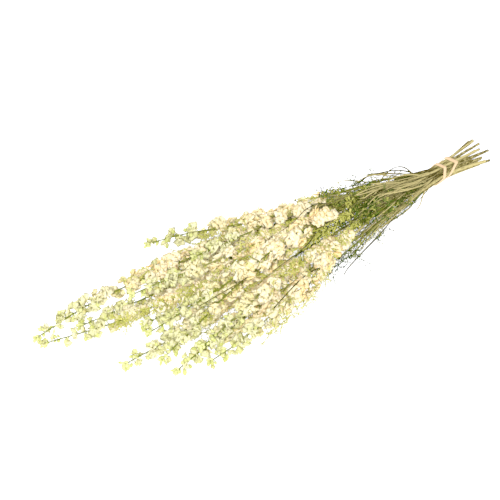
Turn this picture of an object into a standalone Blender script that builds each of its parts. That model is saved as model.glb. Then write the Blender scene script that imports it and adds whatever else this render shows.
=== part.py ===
import math
import random

import bmesh
import bpy
import numpy as np
from mathutils import Vector

# A tied bunch of dried delphinium lying on a table.
# The rubber band sits at x = 0, the flowers point to -X and the cut ends to +X.
# Lengths are millimetres, and the table top is z = 0.
MM = 0.001

# Packing of the stems inside the band, in rows from the bottom up.
ROW_COUNTS = (4, 5, 6, 5, 4)
STEM_PITCH = 4.15
ROW_RISE = STEM_PITCH * math.sqrt(3) / 2
STEM_RADIUS = 1.9
TIP_RADIUS = 0.75
BAND_CLEARANCE = 0.35
BAND_THICKNESS = 1.3
BAND_WIDTH = 4.4
FIRST_ROW_Z = BAND_THICKNESS + BAND_CLEARANCE + STEM_RADIUS
BUNDLE_Y = 5.0
BUNDLE_Z = FIRST_ROW_Z + 2 * ROW_RISE
BUNDLE_RADIUS = 11.0
# Where the middle of each turn sits, and how far its top leans to the cut ends.
FIRST_TURN_X = -4.0
FIRST_TURN_LEAN = 5.0
SECOND_TURN_X = 7.0
SECOND_TURN_LEAN = 18.0

# Each flowering stem: row, place in the row from -Y, tip, heading, rise,
# and the share of the length behind the tip that carries flowers.
FLOWER_STEMS = (
    (3, 1, (-500, -84, 13), 4, -5, 0.54),
    (0, 0, (-535, -70, 12), -6, -3, 0.50),
    (0, 2, (-568, -27, 13), 2, -4, 0.50),
    (1, 3, (-510, 10, 16), 4, -4, 0.46),
    (2, 5, (-440, 80, 16), 16, -3, 0.52),
    (0, 1, (-500, -72, 24), -4, -14, 0.50),
    (4, 0, (-540, -54, 18), -8, -18, 0.46),
    (1, 2, (-605, 64, 12), 34, -14, 0.42),
    (1, 4, (-563, 54, 20), 18, -10, 0.48),
    (2, 4, (-480, 66, 34), 10, -4, 0.52),
    (4, 2, (-526, -16, 28), 28, -26, 0.56),
    (2, 2, (-514, 22, 52), 18, -12, 0.50),
    (3, 3, (-430, 14, 66), 4, -4, 0.54),
    (3, 2, (-616, 63, 28), 5, -11, 0.52),
    (2, 3, (-435, 88, 54), 22, -3, 0.56),
)
# Stems that carry leaves only: row, place, tip, heading, rise.
LEAF_STEMS = (
    (0, 3, (-300, 40, 14), 14, -2),
    (2, 0, (-258, -68, 28), -20, 0),
    (3, 4, (-285, 64, 30), 20, 0),
    (3, 0, (-200, -42, 40), -22, 6),
    (4, 3, (-225, 6, 66), 8, 6),
    (1, 0, (-320, -58, 12), -10, -4),
    (4, 1, (-180, -8, 56), 0, 8),
    (1, 1, (-290, -20, 36), -6, 0),
    (2, 1, (-150, -30, 30), -12, 2),
)

# Fan of the stems out of the band, per millimetre of offset in the bundle.
FAN_SIDEWAYS = 0.017
FAN_UPWARD = 0.010
FAN_LIFT = 0.02
NEAR_HANDLE = 0.40
FAR_HANDLE = 0.33
STRAIGHT_LEFT = -15.0
STRAIGHT_RIGHT = 8.0
STATION_STEP = 72.0
SAMPLE_STEP = 4.0

# Splay of the cut ends.
SPLAY_LENGTH = 73.0
SPLAY_SIDEWAYS = 1.35
SPLAY_UPWARD = 0.25
SPLAY_LIFT = 4.0
SPLAY_DRIFT = -6.0
SPLAY_TWIST = math.radians(8)
SPLAY_STEPS = 3
CUT_LENGTHS = (64, 72, 82, 66, 78, 88, 70)

# Florets: largest at the foot of the spike, smaller above, then buds.
GOLDEN_ANGLE = math.radians(137.508)
FLORET_SPACING = 17.8
FLORET_RADIUS_FOOT = 15.0
FLORET_RADIUS_TOP = 10.0
FLORET_RADIUS_LEAST = 6.0
PEDICEL_FOOT = 12.0
PEDICEL_TOP = 8.0
PEDICEL_RADIUS = 0.6
PEDICEL_CLIMB = math.radians(34)
PETALS = 5
PETAL_HALF_ANGLE = math.radians(21)
PETAL_NOTCH = 0.52
FLORET_ZONE = 0.74
BUD_SPACING = 9.4
BUD_LENGTH = 9.5
BUD_RADIUS = 3.1

# Leaves cut into narrow lobes, on a thin stalk.
LEAF_LOBES = 5
LEAF_SPREAD = math.radians(230)
LEAF_RADIUS = 21.0
LEAF_NOTCH = 0.20
LEAF_HALF_THICKNESS = 0.75
LEAF_STALK = 20.0
LEAF_STALK_RADIUS = 0.55
LEAVES_BY_ROW = (1, 1, 1, 2, 2)
LEAVES_ON_LEAF_STEM = 3

# Room that each stem keeps from the half-way plane to the next one, and the
# turns tried, in degrees, until a head has room and clears its neighbours.
ROOM_MARGIN = 0.45
HEAD_SPACING = 0.78
TURNS = (0, 30, -30, 60, -60, 90, -90, 120, -120, 150, -150, 180)
SEED = 11

# Fusing: a hair's move for pieces that only graze each other, and a weld.
NUDGE = 0.03
NUDGES = 12
WELD = 0.003

# Middle of the outline in plan, moved to x = y = 0 at the end.
OUTLINE_MIDDLE = (-264.0, -2.5)

CREAM = (0.72, 0.62, 0.38)
LEAF_GREEN = (0.22, 0.26, 0.07)
BAND_BEIGE = (0.75, 0.50, 0.36)


def tie_place(row, place):
    y = BUNDLE_Y + (place - (ROW_COUNTS[row] - 1) / 2) * STEM_PITCH
    return y, FIRST_ROW_Z + row * ROW_RISE


# Where a point of the bundle's section goes as the cut ends splay and turn.
def splay(x, y, z):
    grow = (max(0.0, x - STRAIGHT_RIGHT) / SPLAY_LENGTH) ** 1.3
    side = (y - BUNDLE_Y) * (1 + SPLAY_SIDEWAYS * grow)
    rise = (z - BUNDLE_Z) * (1 + SPLAY_UPWARD * grow)
    turn = SPLAY_TWIST * grow
    turned_side = side * math.cos(turn) - rise * math.sin(turn) * 0.6
    turned_rise = side * math.sin(turn) * 0.5 + rise * math.cos(turn)
    moved_y = BUNDLE_Y + SPLAY_DRIFT * grow + turned_side
    return moved_y, BUNDLE_Z + SPLAY_LIFT * grow + turned_rise


def bezier(handles, t):
    a, b, c, d = handles
    s = 1 - t
    return a * s ** 3 + b * (3 * s * s * t) + c * (3 * s * t * t) + d * t ** 3


# Centre line of a stem from its cut end to its tip.
def stem_line(row, place, tip, heading, rise, cut_length):
    y, z = tie_place(row, place)
    line = []
    for step in range(SPLAY_STEPS, -1, -1):
        share = (step / SPLAY_STEPS) ** 1.6
        x = STRAIGHT_RIGHT + (cut_length - STRAIGHT_RIGHT) * share
        line.append(Vector((x, *splay(x, y, z))))
    start = Vector((STRAIGHT_LEFT, y, z))
    tip = Vector(tip)
    reach = start.x - tip.x
    upward = (z - FIRST_ROW_Z) * FAN_UPWARD + FAN_LIFT
    fan = Vector((-1, (y - BUNDLE_Y) * FAN_SIDEWAYS, upward))
    turn = math.radians(heading)
    dip = math.radians(rise)
    along = Vector((
        -math.cos(turn) * math.cos(dip),
        math.sin(turn) * math.cos(dip),
        math.sin(dip),
    ))
    handles = (
        start,
        start + fan * reach * NEAR_HANDLE,
        tip - along * reach * FAR_HANDLE,
        tip,
    )
    fine = [bezier(handles, k / 200) for k in range(201)]
    fine_x = [-p.x for p in fine]
    count = round(reach / STATION_STEP)
    for k in range(count + 1):
        x = -start.x + reach * k / count
        y = np.interp(x, fine_x, [p.y for p in fine])
        z = np.interp(x, fine_x, [p.z for p in fine])
        line.append(Vector((-x, y, z)))
    return line


def stem_radius(x, tip_x):
    share = min(1.0, max(0.0, x / tip_x))
    return STEM_RADIUS + (TIP_RADIUS - STEM_RADIUS) * share ** 1.2


# Points close together along a line, for measuring distances.
def samples(line):
    points = []
    for a, b in zip(line, line[1:]):
        count = max(1, math.ceil((b - a).length / SAMPLE_STEP))
        for k in range(count):
            points.append(a.lerp(b, k / count))
    points.append(line[-1])
    return np.array([tuple(p) for p in points])


class Stem:
    def __init__(self, name, seed, line, flower_share, leaf_count):
        self.name = name
        self.rng = random.Random(seed)
        self.line = line
        self.tip = line[-1]
        self.own = samples(line)
        self.others = None
        self.flower_share = flower_share
        self.leaf_count = leaf_count
        self.heads = []
        self.pieces = []

    # Point on the centre line at a given x, and the direction to the tip.
    def at(self, x):
        for a, b in zip(self.line, self.line[1:]):
            if a.x >= x >= b.x:
                share = (a.x - x) / (a.x - b.x)
                return a.lerp(b, share), (b - a).normalized()
        return self.tip.copy(), (self.tip - self.line[-2]).normalized()

    # Foot of a point on the centre line, and the share of the way from there
    # that stays above the table and on this stem's side of the half-way planes.
    def room(self, point):
        place = np.array(tuple(point))
        gaps = self.own - place
        foot = self.own[np.argmin((gaps * gaps).sum(axis=1))]
        out = place - foot
        share = foot[2] / -out[2] if out[2] < 0 else math.inf
        span = self.others - foot
        length = np.sqrt((span * span).sum(axis=1))
        facing = span @ out
        ahead = facing > 1e-6
        if ahead.any():
            half = np.maximum(length[ahead] / 2 - ROOM_MARGIN, 0.2)
            share = min(share, float((half * length[ahead] / facing[ahead]).min()))
        return Vector(foot), share

    def tightest(self, points):
        return min(self.room(point)[1] for point in points)

    def bend_clear(self, points):
        moved = []
        for point in points:
            foot, share = self.room(point)
            moved.append(foot + (point - foot) * min(1.0, share))
        return moved

    # The way out near the wished azimuth that has room for the reach and
    # keeps clear of the heads already placed.
    def open_way(self, foot, along, azimuth, reach, size=0.0):
        best = None
        side = along.cross(Vector((0, 0, 1))).normalized()
        over = side.cross(along).normalized()
        for turn in TURNS:
            angle = azimuth + math.radians(turn)
            out = side * math.cos(angle) + over * math.sin(angle)
            share = min(1.0, self.room(foot + out * reach)[1])
            middle = foot + out * reach * 0.6
            for head, head_size in self.heads if size else ():
                spacing = HEAD_SPACING * (size + head_size)
                share = min(share, (middle - head).length / spacing)
            if best is None or share > best[0]:
                best = (share, out, middle)
            if share >= 1:
                break
        return best[1], best[2]


def cross_axes(normal, spin):
    first = normal.orthogonal().normalized()
    second = normal.cross(first)
    return (
        first * math.cos(spin) + second * math.sin(spin),
        second * math.cos(spin) - first * math.sin(spin),
    )


def ring(centre, u, v, radius, count):
    points = []
    for k in range(count):
        angle = 2 * math.pi * k / count
        points.append(centre + (u * math.cos(angle) + v * math.sin(angle)) * radius)
    return points


# Buds, florets and leaves are closed solids, each with its foot in the stem.
def solid(name, verts, faces):
    mesh = bpy.data.meshes.new(name)
    mesh.from_pydata([tuple(v * MM) for v in verts], [], faces)
    shape = bmesh.new()
    shape.from_mesh(mesh)
    bmesh.ops.triangulate(shape, faces=shape.faces)
    bmesh.ops.recalc_face_normals(shape, faces=shape.faces)
    shape.to_mesh(mesh)
    shape.free()
    return bpy.data.objects.new(name, mesh)


# Stalk, neck, petal edge and throat of one floret of five blunt petals.
def floret_points(foot, along, out, size, pedicel, spin, nod):
    stalk = out * math.cos(PEDICEL_CLIMB) + along * math.sin(PEDICEL_CLIMB)
    facing = (out * math.cos(nod) + along * math.sin(nod)).normalized()
    centre = foot + stalk * pedicel
    u, v = cross_axes(facing, spin)
    edge = []
    for petal in range(PETALS):
        middle = 2 * math.pi * petal / PETALS
        lift = 0.20 if petal % 2 else 0.08
        corners = (
            (middle - math.pi / PETALS, PETAL_NOTCH, -0.06),
            (middle - PETAL_HALF_ANGLE, 0.97, lift - 0.10),
            (middle + PETAL_HALF_ANGLE, 1.0, lift + 0.10),
        )
        for angle, reach, height in corners:
            flat = u * math.cos(angle) + v * math.sin(angle)
            edge.append(centre + (flat * reach + facing * height) * size)
    root = ring(foot, *cross_axes(stalk, spin), PEDICEL_RADIUS, 3)
    neck = ring(centre - facing * size * 0.36, u, v, size * 0.13, 3)
    throat = centre - facing * size * 0.14
    return root, neck, edge, throat


# A floret shrinks until it fits, and its petals are bent clear of the rest.
def add_floret(stem, foot, along, out, size, pedicel, spin, nod):
    for _ in range(9):
        root, neck, edge, throat = floret_points(foot, along, out, size, pedicel, spin, nod)
        if stem.tightest(edge + neck) > 0.80:
            break
        size *= 0.9
        pedicel *= 0.94
    if size < FLORET_RADIUS_LEAST:
        return False
    verts = root + stem.bend_clear(neck) + stem.bend_clear(edge) + [throat]
    count = len(edge)
    third = count // 3
    faces = [(2, 1, 0)]
    for k in range(3):
        turn = (k + 1) % 3
        faces.append((k, turn, 3 + turn, 3 + k))
        faces.append((3 + k, 3 + turn, 6 + (k + 1) * third % count))
    for k in range(count):
        turn = (k + 1) % count
        faces.append((3 + k // third % 3, 6 + turn, 6 + k))
        faces.append((6 + count, 6 + k, 6 + turn))
    stem.pieces.append(solid(stem.name + "_floret", verts, faces))
    return True


def add_bud(stem, foot, along, out, scale):
    axis = (out * 0.75 + along * 0.66).normalized()
    length = BUD_LENGTH * scale
    belly = ring(foot + axis * length * 0.72, *cross_axes(axis, 0.4), BUD_RADIUS * scale, 4)
    point = foot + axis * length * 1.25
    verts = [foot - axis * 0.2] + stem.bend_clear(belly + [point])
    faces = []
    for k in range(4):
        turn = (k + 1) % 4
        faces.append((0, 1 + turn, 1 + k))
        faces.append((5, 1 + k, 1 + turn))
    stem.pieces.append(solid(stem.name + "_bud", verts, faces))


def add_leaf(stem, foot, along, out, size, spin):
    stalk_way = (out * 0.86 + along * 0.5).normalized()
    blade_way = (out * 0.35 + along * 0.94).normalized()
    up = (out - blade_way * out.dot(blade_way)).normalized()
    face = (up * math.cos(spin) + blade_way.cross(up) * math.sin(spin)).normalized()
    across = blade_way.cross(face)
    for _ in range(9):
        palm = foot + stalk_way * LEAF_STALK * size
        edge = []
        for k in range(2 * LEAF_LOBES - 1):
            angle = (k / (2 * LEAF_LOBES - 2) - 0.5) * LEAF_SPREAD
            reach = LEAF_NOTCH if k % 2 else 0.72 + 0.28 * math.cos(angle)
            flat = blade_way * math.cos(angle) + across * math.sin(angle)
            droop = face * -0.16 * reach * reach
            edge.append(palm + (flat * reach + droop) * LEAF_RADIUS * size)
        if stem.tightest(edge) > 0.85:
            break
        size *= 0.92
    verts = stem.bend_clear(edge)
    verts.append(palm - blade_way * 2.4)
    count = len(verts)
    verts.append(palm + face * LEAF_HALF_THICKNESS)
    verts.append(palm - face * LEAF_HALF_THICKNESS)
    faces = []
    for k in range(count):
        turn = (k + 1) % count
        faces.append((count, k, turn))
        faces.append((count + 1, turn, k))
    stem.pieces.append(solid(stem.name + "_leaf", verts, faces))
    u, v = cross_axes(stalk_way, 0.3)
    verts = ring(foot, u, v, LEAF_STALK_RADIUS, 3)
    verts += ring(palm + blade_way * 1.2, u, v, LEAF_STALK_RADIUS, 3)
    faces = [(2, 1, 0), (3, 4, 5), (0, 1, 4, 3), (1, 2, 5, 4), (2, 0, 3, 5)]
    stem.pieces.append(solid(stem.name + "_leaf_stalk", verts, faces))


def add_leaves(stem, near_x, far_x):
    rng = stem.rng
    for k in range(stem.leaf_count):
        share = (k + rng.uniform(0.1, 0.9)) / stem.leaf_count
        foot, along = stem.at(near_x + (far_x - near_x) * share)
        azimuth = rng.uniform(0, 2 * math.pi)
        size = rng.uniform(0.8, 1.1)
        spin = rng.uniform(-0.7, 0.7)
        out, _ = stem.open_way(foot, along, azimuth, LEAF_STALK)
        add_leaf(stem, foot, along, out, size, spin)


def add_flowers(stem):
    rng = stem.rng
    zone = -stem.tip.x * stem.flower_share
    floret_zone = zone * FLORET_ZONE
    count = round(floret_zone / FLORET_SPACING)
    azimuth = rng.uniform(0, 2 * math.pi)
    for k in range(count):
        share = (k + 0.5) / count
        foot, along = stem.at(stem.tip.x + zone - floret_zone * share)
        azimuth += GOLDEN_ANGLE + rng.uniform(-0.2, 0.2)
        size = FLORET_RADIUS_FOOT + (FLORET_RADIUS_TOP - FLORET_RADIUS_FOOT) * share
        size *= rng.uniform(0.92, 1.08)
        pedicel = PEDICEL_FOOT + (PEDICEL_TOP - PEDICEL_FOOT) * share
        pedicel *= rng.uniform(0.85, 1.12)
        spin = rng.uniform(0, 2 * math.pi)
        nod = rng.uniform(-0.25, 0.5)
        reach = pedicel * 0.8 + size * 0.5
        out, middle = stem.open_way(foot, along, azimuth, reach, size)
        if add_floret(stem, foot, along, out, size, pedicel, spin, nod):
            stem.heads.append((middle, size))
    bud_zone = zone - floret_zone
    bud_count = round(bud_zone / BUD_SPACING)
    for k in range(bud_count):
        share = (k + 0.5) / bud_count
        foot, along = stem.at(stem.tip.x + bud_zone * (1 - share) + 1.0)
        azimuth += GOLDEN_ANGLE
        out, _ = stem.open_way(foot, along, azimuth, BUD_LENGTH)
        add_bud(stem, foot, along, out, 1.05 - 0.4 * share)


# A round tube along the centre line, closed at both ends.
def make_stalk(stem):
    curve = bpy.data.curves.new(stem.name, "CURVE")
    curve.dimensions = "3D"
    curve.bevel_depth = MM
    curve.bevel_resolution = 1
    curve.use_fill_caps = True
    spline = curve.splines.new("POLY")
    spline.points.add(len(stem.line) - 1)
    for point, place in zip(spline.points, stem.line):
        point.co = (*(place * MM), 1)
        point.radius = stem_radius(place.x, stem.tip.x)
    holder = bpy.data.objects.new(stem.name + "_curve", curve)
    bunch.objects.link(holder)
    depsgraph = bpy.context.evaluated_depsgraph_get()
    mesh = bpy.data.meshes.new_from_object(holder.evaluated_get(depsgraph))
    bpy.data.objects.remove(holder)
    shape = bmesh.new()
    shape.from_mesh(mesh)
    bmesh.ops.remove_doubles(shape, verts=shape.verts, dist=0.00001)
    bmesh.ops.triangulate(shape, faces=shape.faces)
    bmesh.ops.recalc_face_normals(shape, faces=shape.faces)
    shape.to_mesh(mesh)
    shape.free()
    stalk = bpy.data.objects.new(stem.name, mesh)
    bunch.objects.link(stalk)
    return stalk


# Whether the mesh is one closed body, also with its finest edges welded.
def is_sound(mesh):
    shape = bmesh.new()
    shape.from_mesh(mesh)
    bmesh.ops.remove_doubles(shape, verts=shape.verts, dist=WELD * MM)
    bmesh.ops.dissolve_degenerate(shape, edges=shape.edges, dist=WELD * MM)
    closed = all(len(edge.link_faces) == 2 for edge in shape.edges)
    left = set(shape.faces)
    front = [left.pop()]
    while front:
        for edge in front.pop().edges:
            for face in edge.link_faces:
                if face in left:
                    left.remove(face)
                    front.append(face)
    shape.free()
    return closed and not left


# Keep the body that holds together and drop loose crumbs.
def drop_scraps(shape):
    left = set(shape.verts)
    bodies = []
    while left:
        body = {left.pop()}
        front = list(body)
        while front:
            for edge in front.pop().link_edges:
                for vert in edge.verts:
                    if vert not in body:
                        body.add(vert)
                        front.append(vert)
        left -= body
        bodies.append(body)
    bodies.sort(key=len)
    for body in bodies[:-1]:
        bmesh.ops.delete(shape, geom=list(body), context="VERTS")


# Everything that grows from a stem is fused to it in one union. Pieces that
# only graze each other are moved by a hair until the result is sound.
def fuse(base, pieces):
    repeats = bpy.data.collections.new(base.name + "_repeats")
    bpy.context.scene.collection.children.link(repeats)
    for piece in pieces:
        repeats.objects.link(piece)
    join = base.modifiers.new("fuse", "BOOLEAN")
    join.operation = "UNION"
    join.operand_type = "COLLECTION"
    join.collection = repeats
    join.solver = "MANIFOLD"
    for turn in range(NUDGES):
        for number, piece in enumerate(pieces):
            angle = number * GOLDEN_ANGLE
            move = Vector((math.cos(angle), math.sin(angle), 0))
            piece.location = move * NUDGE * MM * turn
        depsgraph = bpy.context.evaluated_depsgraph_get()
        mesh = bpy.data.meshes.new_from_object(base.evaluated_get(depsgraph))
        shape = bmesh.new()
        shape.from_mesh(mesh)
        bmesh.ops.remove_doubles(shape, verts=shape.verts, dist=0.000001)
        drop_scraps(shape)
        bmesh.ops.triangulate(shape, faces=shape.faces)
        shape.to_mesh(mesh)
        shape.free()
        if is_sound(mesh):
            break
    base.modifiers.clear()
    base.data = mesh
    for piece in pieces:
        bpy.data.objects.remove(piece)
    bpy.data.collections.remove(repeats)


# Outline of a band stretched round the six corner stems of the bundle.
def band_outline(offset):
    corners = (
        (0, ROW_COUNTS[0] - 1), (2, ROW_COUNTS[2] - 1), (4, ROW_COUNTS[4] - 1),
        (4, 0), (2, 0), (0, 0),
    )
    centres = [tie_place(row, place) for row, place in corners]
    outline = []
    for k, (y, z) in enumerate(centres):
        before = centres[k - 1]
        after = centres[(k + 1) % len(centres)]
        first = math.atan2(z - before[1], y - before[0]) - math.pi / 2
        last = math.atan2(after[1] - z, after[0] - y) - math.pi / 2
        sweep = (last - first) % (2 * math.pi)
        radius = STEM_RADIUS + offset
        for step in range(3):
            angle = first + sweep * step / 2
            outline.append((y + radius * math.cos(angle), z + radius * math.sin(angle)))
    return outline


# One turn of the band. The lean carries its top towards the cut ends.
def make_turn(name, inner_offset, outer_offset, width, middle, lean):
    verts = []
    for outline in (band_outline(inner_offset), band_outline(outer_offset)):
        for side in (-0.5, 0.5):
            for y, z in outline:
                x = middle + lean * (z - BUNDLE_Z) / BUNDLE_RADIUS + side * width
                verts.append(Vector((x, *splay(x, y, z))))
    count = len(verts) // 4
    faces = []
    for k in range(count):
        turn = (k + 1) % count
        for first, second in ((0, 1), (1, 3), (3, 2), (2, 0)):
            a = first * count
            b = second * count
            faces.append((a + k, a + turn, b + turn, b + k))
    return solid(name, verts, faces)


def finish(piece, colour, roughness):
    material = bpy.data.materials.new(piece.name)
    material.use_nodes = True
    shader = material.node_tree.nodes["Principled BSDF"]
    shader.inputs["Base Color"].default_value = (*colour, 1)
    shader.inputs["Roughness"].default_value = roughness
    shader.inputs["Metallic"].default_value = 0.0
    piece.data.name = piece.name
    piece.data.materials.clear()
    piece.data.materials.append(material)
    for vertex in piece.data.vertices:
        vertex.co.x -= OUTLINE_MIDDLE[0] * MM
        vertex.co.y -= OUTLINE_MIDDLE[1] * MM


for item in list(bpy.data.objects):
    bpy.data.objects.remove(item, do_unlink=True)
bunch = bpy.data.collections.new("delphinium_bunch")
bpy.context.scene.collection.children.link(bunch)

stems = []
for number, row in enumerate(FLOWER_STEMS):
    line = stem_line(*row[:5], CUT_LENGTHS[number * 3 % len(CUT_LENGTHS)])
    name = f"flower_stem_{number + 1:02d}"
    stems.append(Stem(name, SEED + number, line, row[5], LEAVES_BY_ROW[row[0]]))
for number, row in enumerate(LEAF_STEMS):
    line = stem_line(*row, CUT_LENGTHS[(number * 2 + 1) % len(CUT_LENGTHS)])
    name = f"leaf_stem_{number + 1}"
    stems.append(Stem(name, SEED + 20 + number, line, 0, LEAVES_ON_LEAF_STEM))
for stem in stems:
    stem.others = np.concatenate([other.own for other in stems if other is not stem])

for stem in stems:
    if stem.flower_share:
        first_floret_x = stem.tip.x * (1 - stem.flower_share)
        add_leaves(stem, first_floret_x * 0.45, first_floret_x)
        add_flowers(stem)
    else:
        add_leaves(stem, stem.tip.x * 0.4, stem.tip.x + 2)
    stalk = make_stalk(stem)
    fuse(stalk, stem.pieces)
    finish(stalk, CREAM if stem.flower_share else LEAF_GREEN, 0.7)

outer_offset = BAND_CLEARANCE + BAND_THICKNESS
band = make_turn("rubber_band", BAND_CLEARANCE, outer_offset, BAND_WIDTH,
                 FIRST_TURN_X, FIRST_TURN_LEAN)
bunch.objects.link(band)
second_turn = make_turn("second_turn", BAND_CLEARANCE + 0.12, outer_offset - 0.06,
                        BAND_WIDTH - 0.5, SECOND_TURN_X, SECOND_TURN_LEAN)
fuse(band, [second_turn])
finish(band, BAND_BEIGE, 0.55)
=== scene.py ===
import math
import random

import bmesh
import bpy
import numpy as np
from mathutils import Matrix, Vector


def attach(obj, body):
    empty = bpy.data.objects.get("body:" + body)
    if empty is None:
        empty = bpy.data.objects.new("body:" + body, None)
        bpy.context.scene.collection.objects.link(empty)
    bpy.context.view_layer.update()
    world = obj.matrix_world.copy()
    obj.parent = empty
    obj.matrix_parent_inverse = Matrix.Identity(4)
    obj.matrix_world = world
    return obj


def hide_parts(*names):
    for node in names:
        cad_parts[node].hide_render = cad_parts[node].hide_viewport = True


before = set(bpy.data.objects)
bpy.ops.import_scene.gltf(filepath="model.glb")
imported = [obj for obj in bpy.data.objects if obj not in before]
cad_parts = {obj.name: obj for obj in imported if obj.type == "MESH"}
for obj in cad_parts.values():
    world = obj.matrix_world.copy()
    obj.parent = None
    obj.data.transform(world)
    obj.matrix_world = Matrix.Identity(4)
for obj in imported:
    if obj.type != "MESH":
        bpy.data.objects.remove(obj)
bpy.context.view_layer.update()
print("frame loaded:", len(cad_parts), "solids")

# The bunch is laid out in millimetres with the rubber band at x = 0, the flowers
# towards -X and the table top at z = 0, and moved to the frame's metres at the end.
bunch = {
    "rowCounts": (4, 5, 6, 5, 4),  # stems in each row inside the band, bottom row first
    "stemPitch": 4.15,
    "stemRadius": 1.9,
    "tipRadius": 0.75,
    "firstRowZ": 3.55,
    "bundleY": 5.0,
    "straightLeft": -15.0,
    "straightRight": 8.0,
    "fanSideways": 0.017,  # per millimetre of offset inside the band
    "fanUpward": 0.010,
    "fanLift": 0.02,
    "nearHandle": 0.40,
    "farHandle": 0.33,
    "stationStep": 72.0,
    "sampleStep": 4.0,
    "sway": 1.1,
    "splayLength": 73.0,
    "splaySideways": 1.35,
    "splayUpward": 0.25,
    "splayLift": 4.0,
    "splayDrift": -6.0,
    "splayTwist": 8.0,
    "splaySteps": 3,
    "cutLengths": (64, 72, 82, 66, 78, 88, 70),
    "middle": (-264.0, -2.5),  # middle of the outline in plan
    "seed": 11,
}
bunch["rowRise"] = bunch["stemPitch"] * math.sqrt(3) / 2
bunch["bundleZ"] = bunch["firstRowZ"] + 2 * bunch["rowRise"]

# Flowering stems: row, place in the row from -Y, tip, heading, rise, share in flower
flowerStems = (
    (3, 1, (-500, -84, 13), 4, -5, 0.54),
    (0, 0, (-535, -70, 12), -6, -3, 0.50),
    (0, 2, (-568, -27, 13), 2, -4, 0.50),
    (1, 3, (-510, 10, 16), 4, -4, 0.46),
    (2, 5, (-440, 80, 16), 16, -3, 0.52),
    (0, 1, (-500, -72, 24), -4, -14, 0.50),
    (4, 0, (-540, -54, 18), -8, -18, 0.46),
    (1, 2, (-605, 64, 12), 34, -14, 0.42),
    (1, 4, (-563, 54, 20), 18, -10, 0.48),
    (2, 4, (-480, 66, 34), 10, -4, 0.52),
    (4, 2, (-526, -16, 28), 28, -26, 0.56),
    (2, 2, (-514, 22, 52), 18, -12, 0.50),
    (3, 3, (-430, 14, 66), 4, -4, 0.54),
    (3, 2, (-616, 63, 28), 5, -11, 0.52),
    (2, 3, (-435, 88, 54), 22, -3, 0.56),
)
# Stems with leaves only: row, place, tip, heading, rise
leafStems = (
    (0, 3, (-300, 40, 14), 14, -2),
    (2, 0, (-258, -68, 28), -20, 0),
    (3, 4, (-285, 64, 30), 20, 0),
    (3, 0, (-200, -42, 40), -22, 6),
    (4, 3, (-225, 6, 66), 8, 6),
    (1, 0, (-320, -58, 12), -10, -4),
    (4, 1, (-180, -8, 56), 0, 8),
    (1, 1, (-290, -20, 36), -6, 0),
    (2, 1, (-150, -30, 30), -12, 2),
)

# Places of the florets, buds and leaves along a stem, as the solids have them
spike = {
    "floretSpacing": 17.8,
    "floretRadiusFoot": 15.0,
    "floretRadiusTop": 10.0,
    "floretRadiusLeast": 6.0,
    "pedicelFoot": 12.0,
    "pedicelTop": 8.0,
    "pedicelClimb": math.radians(34),
    "petalHalfAngle": math.radians(21),
    "petalNotch": 0.52,
    "floretZone": 0.74,
    "budSpacing": 9.4,
    "budLength": 9.5,
    "leafStalk": 20.0,
    "leafRadius": 21.0,
    "leafSpread": math.radians(230),
    "leavesByRow": (1, 1, 1, 2, 2),
    "leavesOnLeafStem": 3,
    "roomMargin": 0.45,
    "headSpacing": 0.78,
    "turns": (0, 30, -30, 60, -60, 90, -90, 120, -120, 150, -150, 180),
    "goldenAngle": math.radians(137.508),
}


def tiePlace(row, place):
    y = bunch["bundleY"] + (place - (bunch["rowCounts"][row] - 1) / 2) * bunch["stemPitch"]
    return y, bunch["firstRowZ"] + row * bunch["rowRise"]


def clamp(value):
    return min(1.0, max(0.0, value))


# The way out at an angle between two cross axes
def around(u, v, angle):
    return u * math.cos(angle) + v * math.sin(angle)


# What is left of a way once it is square to another
def squareTo(out, way):
    return (out - way * out.dot(way)).normalized()


def shake(rng, amount):
    return Vector([rng.uniform(-amount, amount) for _ in range(3)])


# Where a point of the bundle's section goes as the cut ends splay and turn
def splay(x, y, z):
    grow = (max(0.0, x - bunch["straightRight"]) / bunch["splayLength"]) ** 1.3
    side = (y - bunch["bundleY"]) * (1 + bunch["splaySideways"] * grow)
    rise = (z - bunch["bundleZ"]) * (1 + bunch["splayUpward"] * grow)
    turn = math.radians(bunch["splayTwist"]) * grow
    turnedSide = side * math.cos(turn) - rise * math.sin(turn) * 0.6
    turnedRise = side * math.sin(turn) * 0.5 + rise * math.cos(turn)
    movedY = bunch["bundleY"] + bunch["splayDrift"] * grow + turnedSide
    return movedY, bunch["bundleZ"] + bunch["splayLift"] * grow + turnedRise


def bezierPoint(handles, t):
    a, b, c, d = handles
    s = 1 - t
    return a * s ** 3 + b * (3 * s * s * t) + c * (3 * s * t * t) + d * t ** 3


def bezierLine(handles, steps):
    return [bezierPoint(handles, k / steps) for k in range(steps + 1)]


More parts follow.
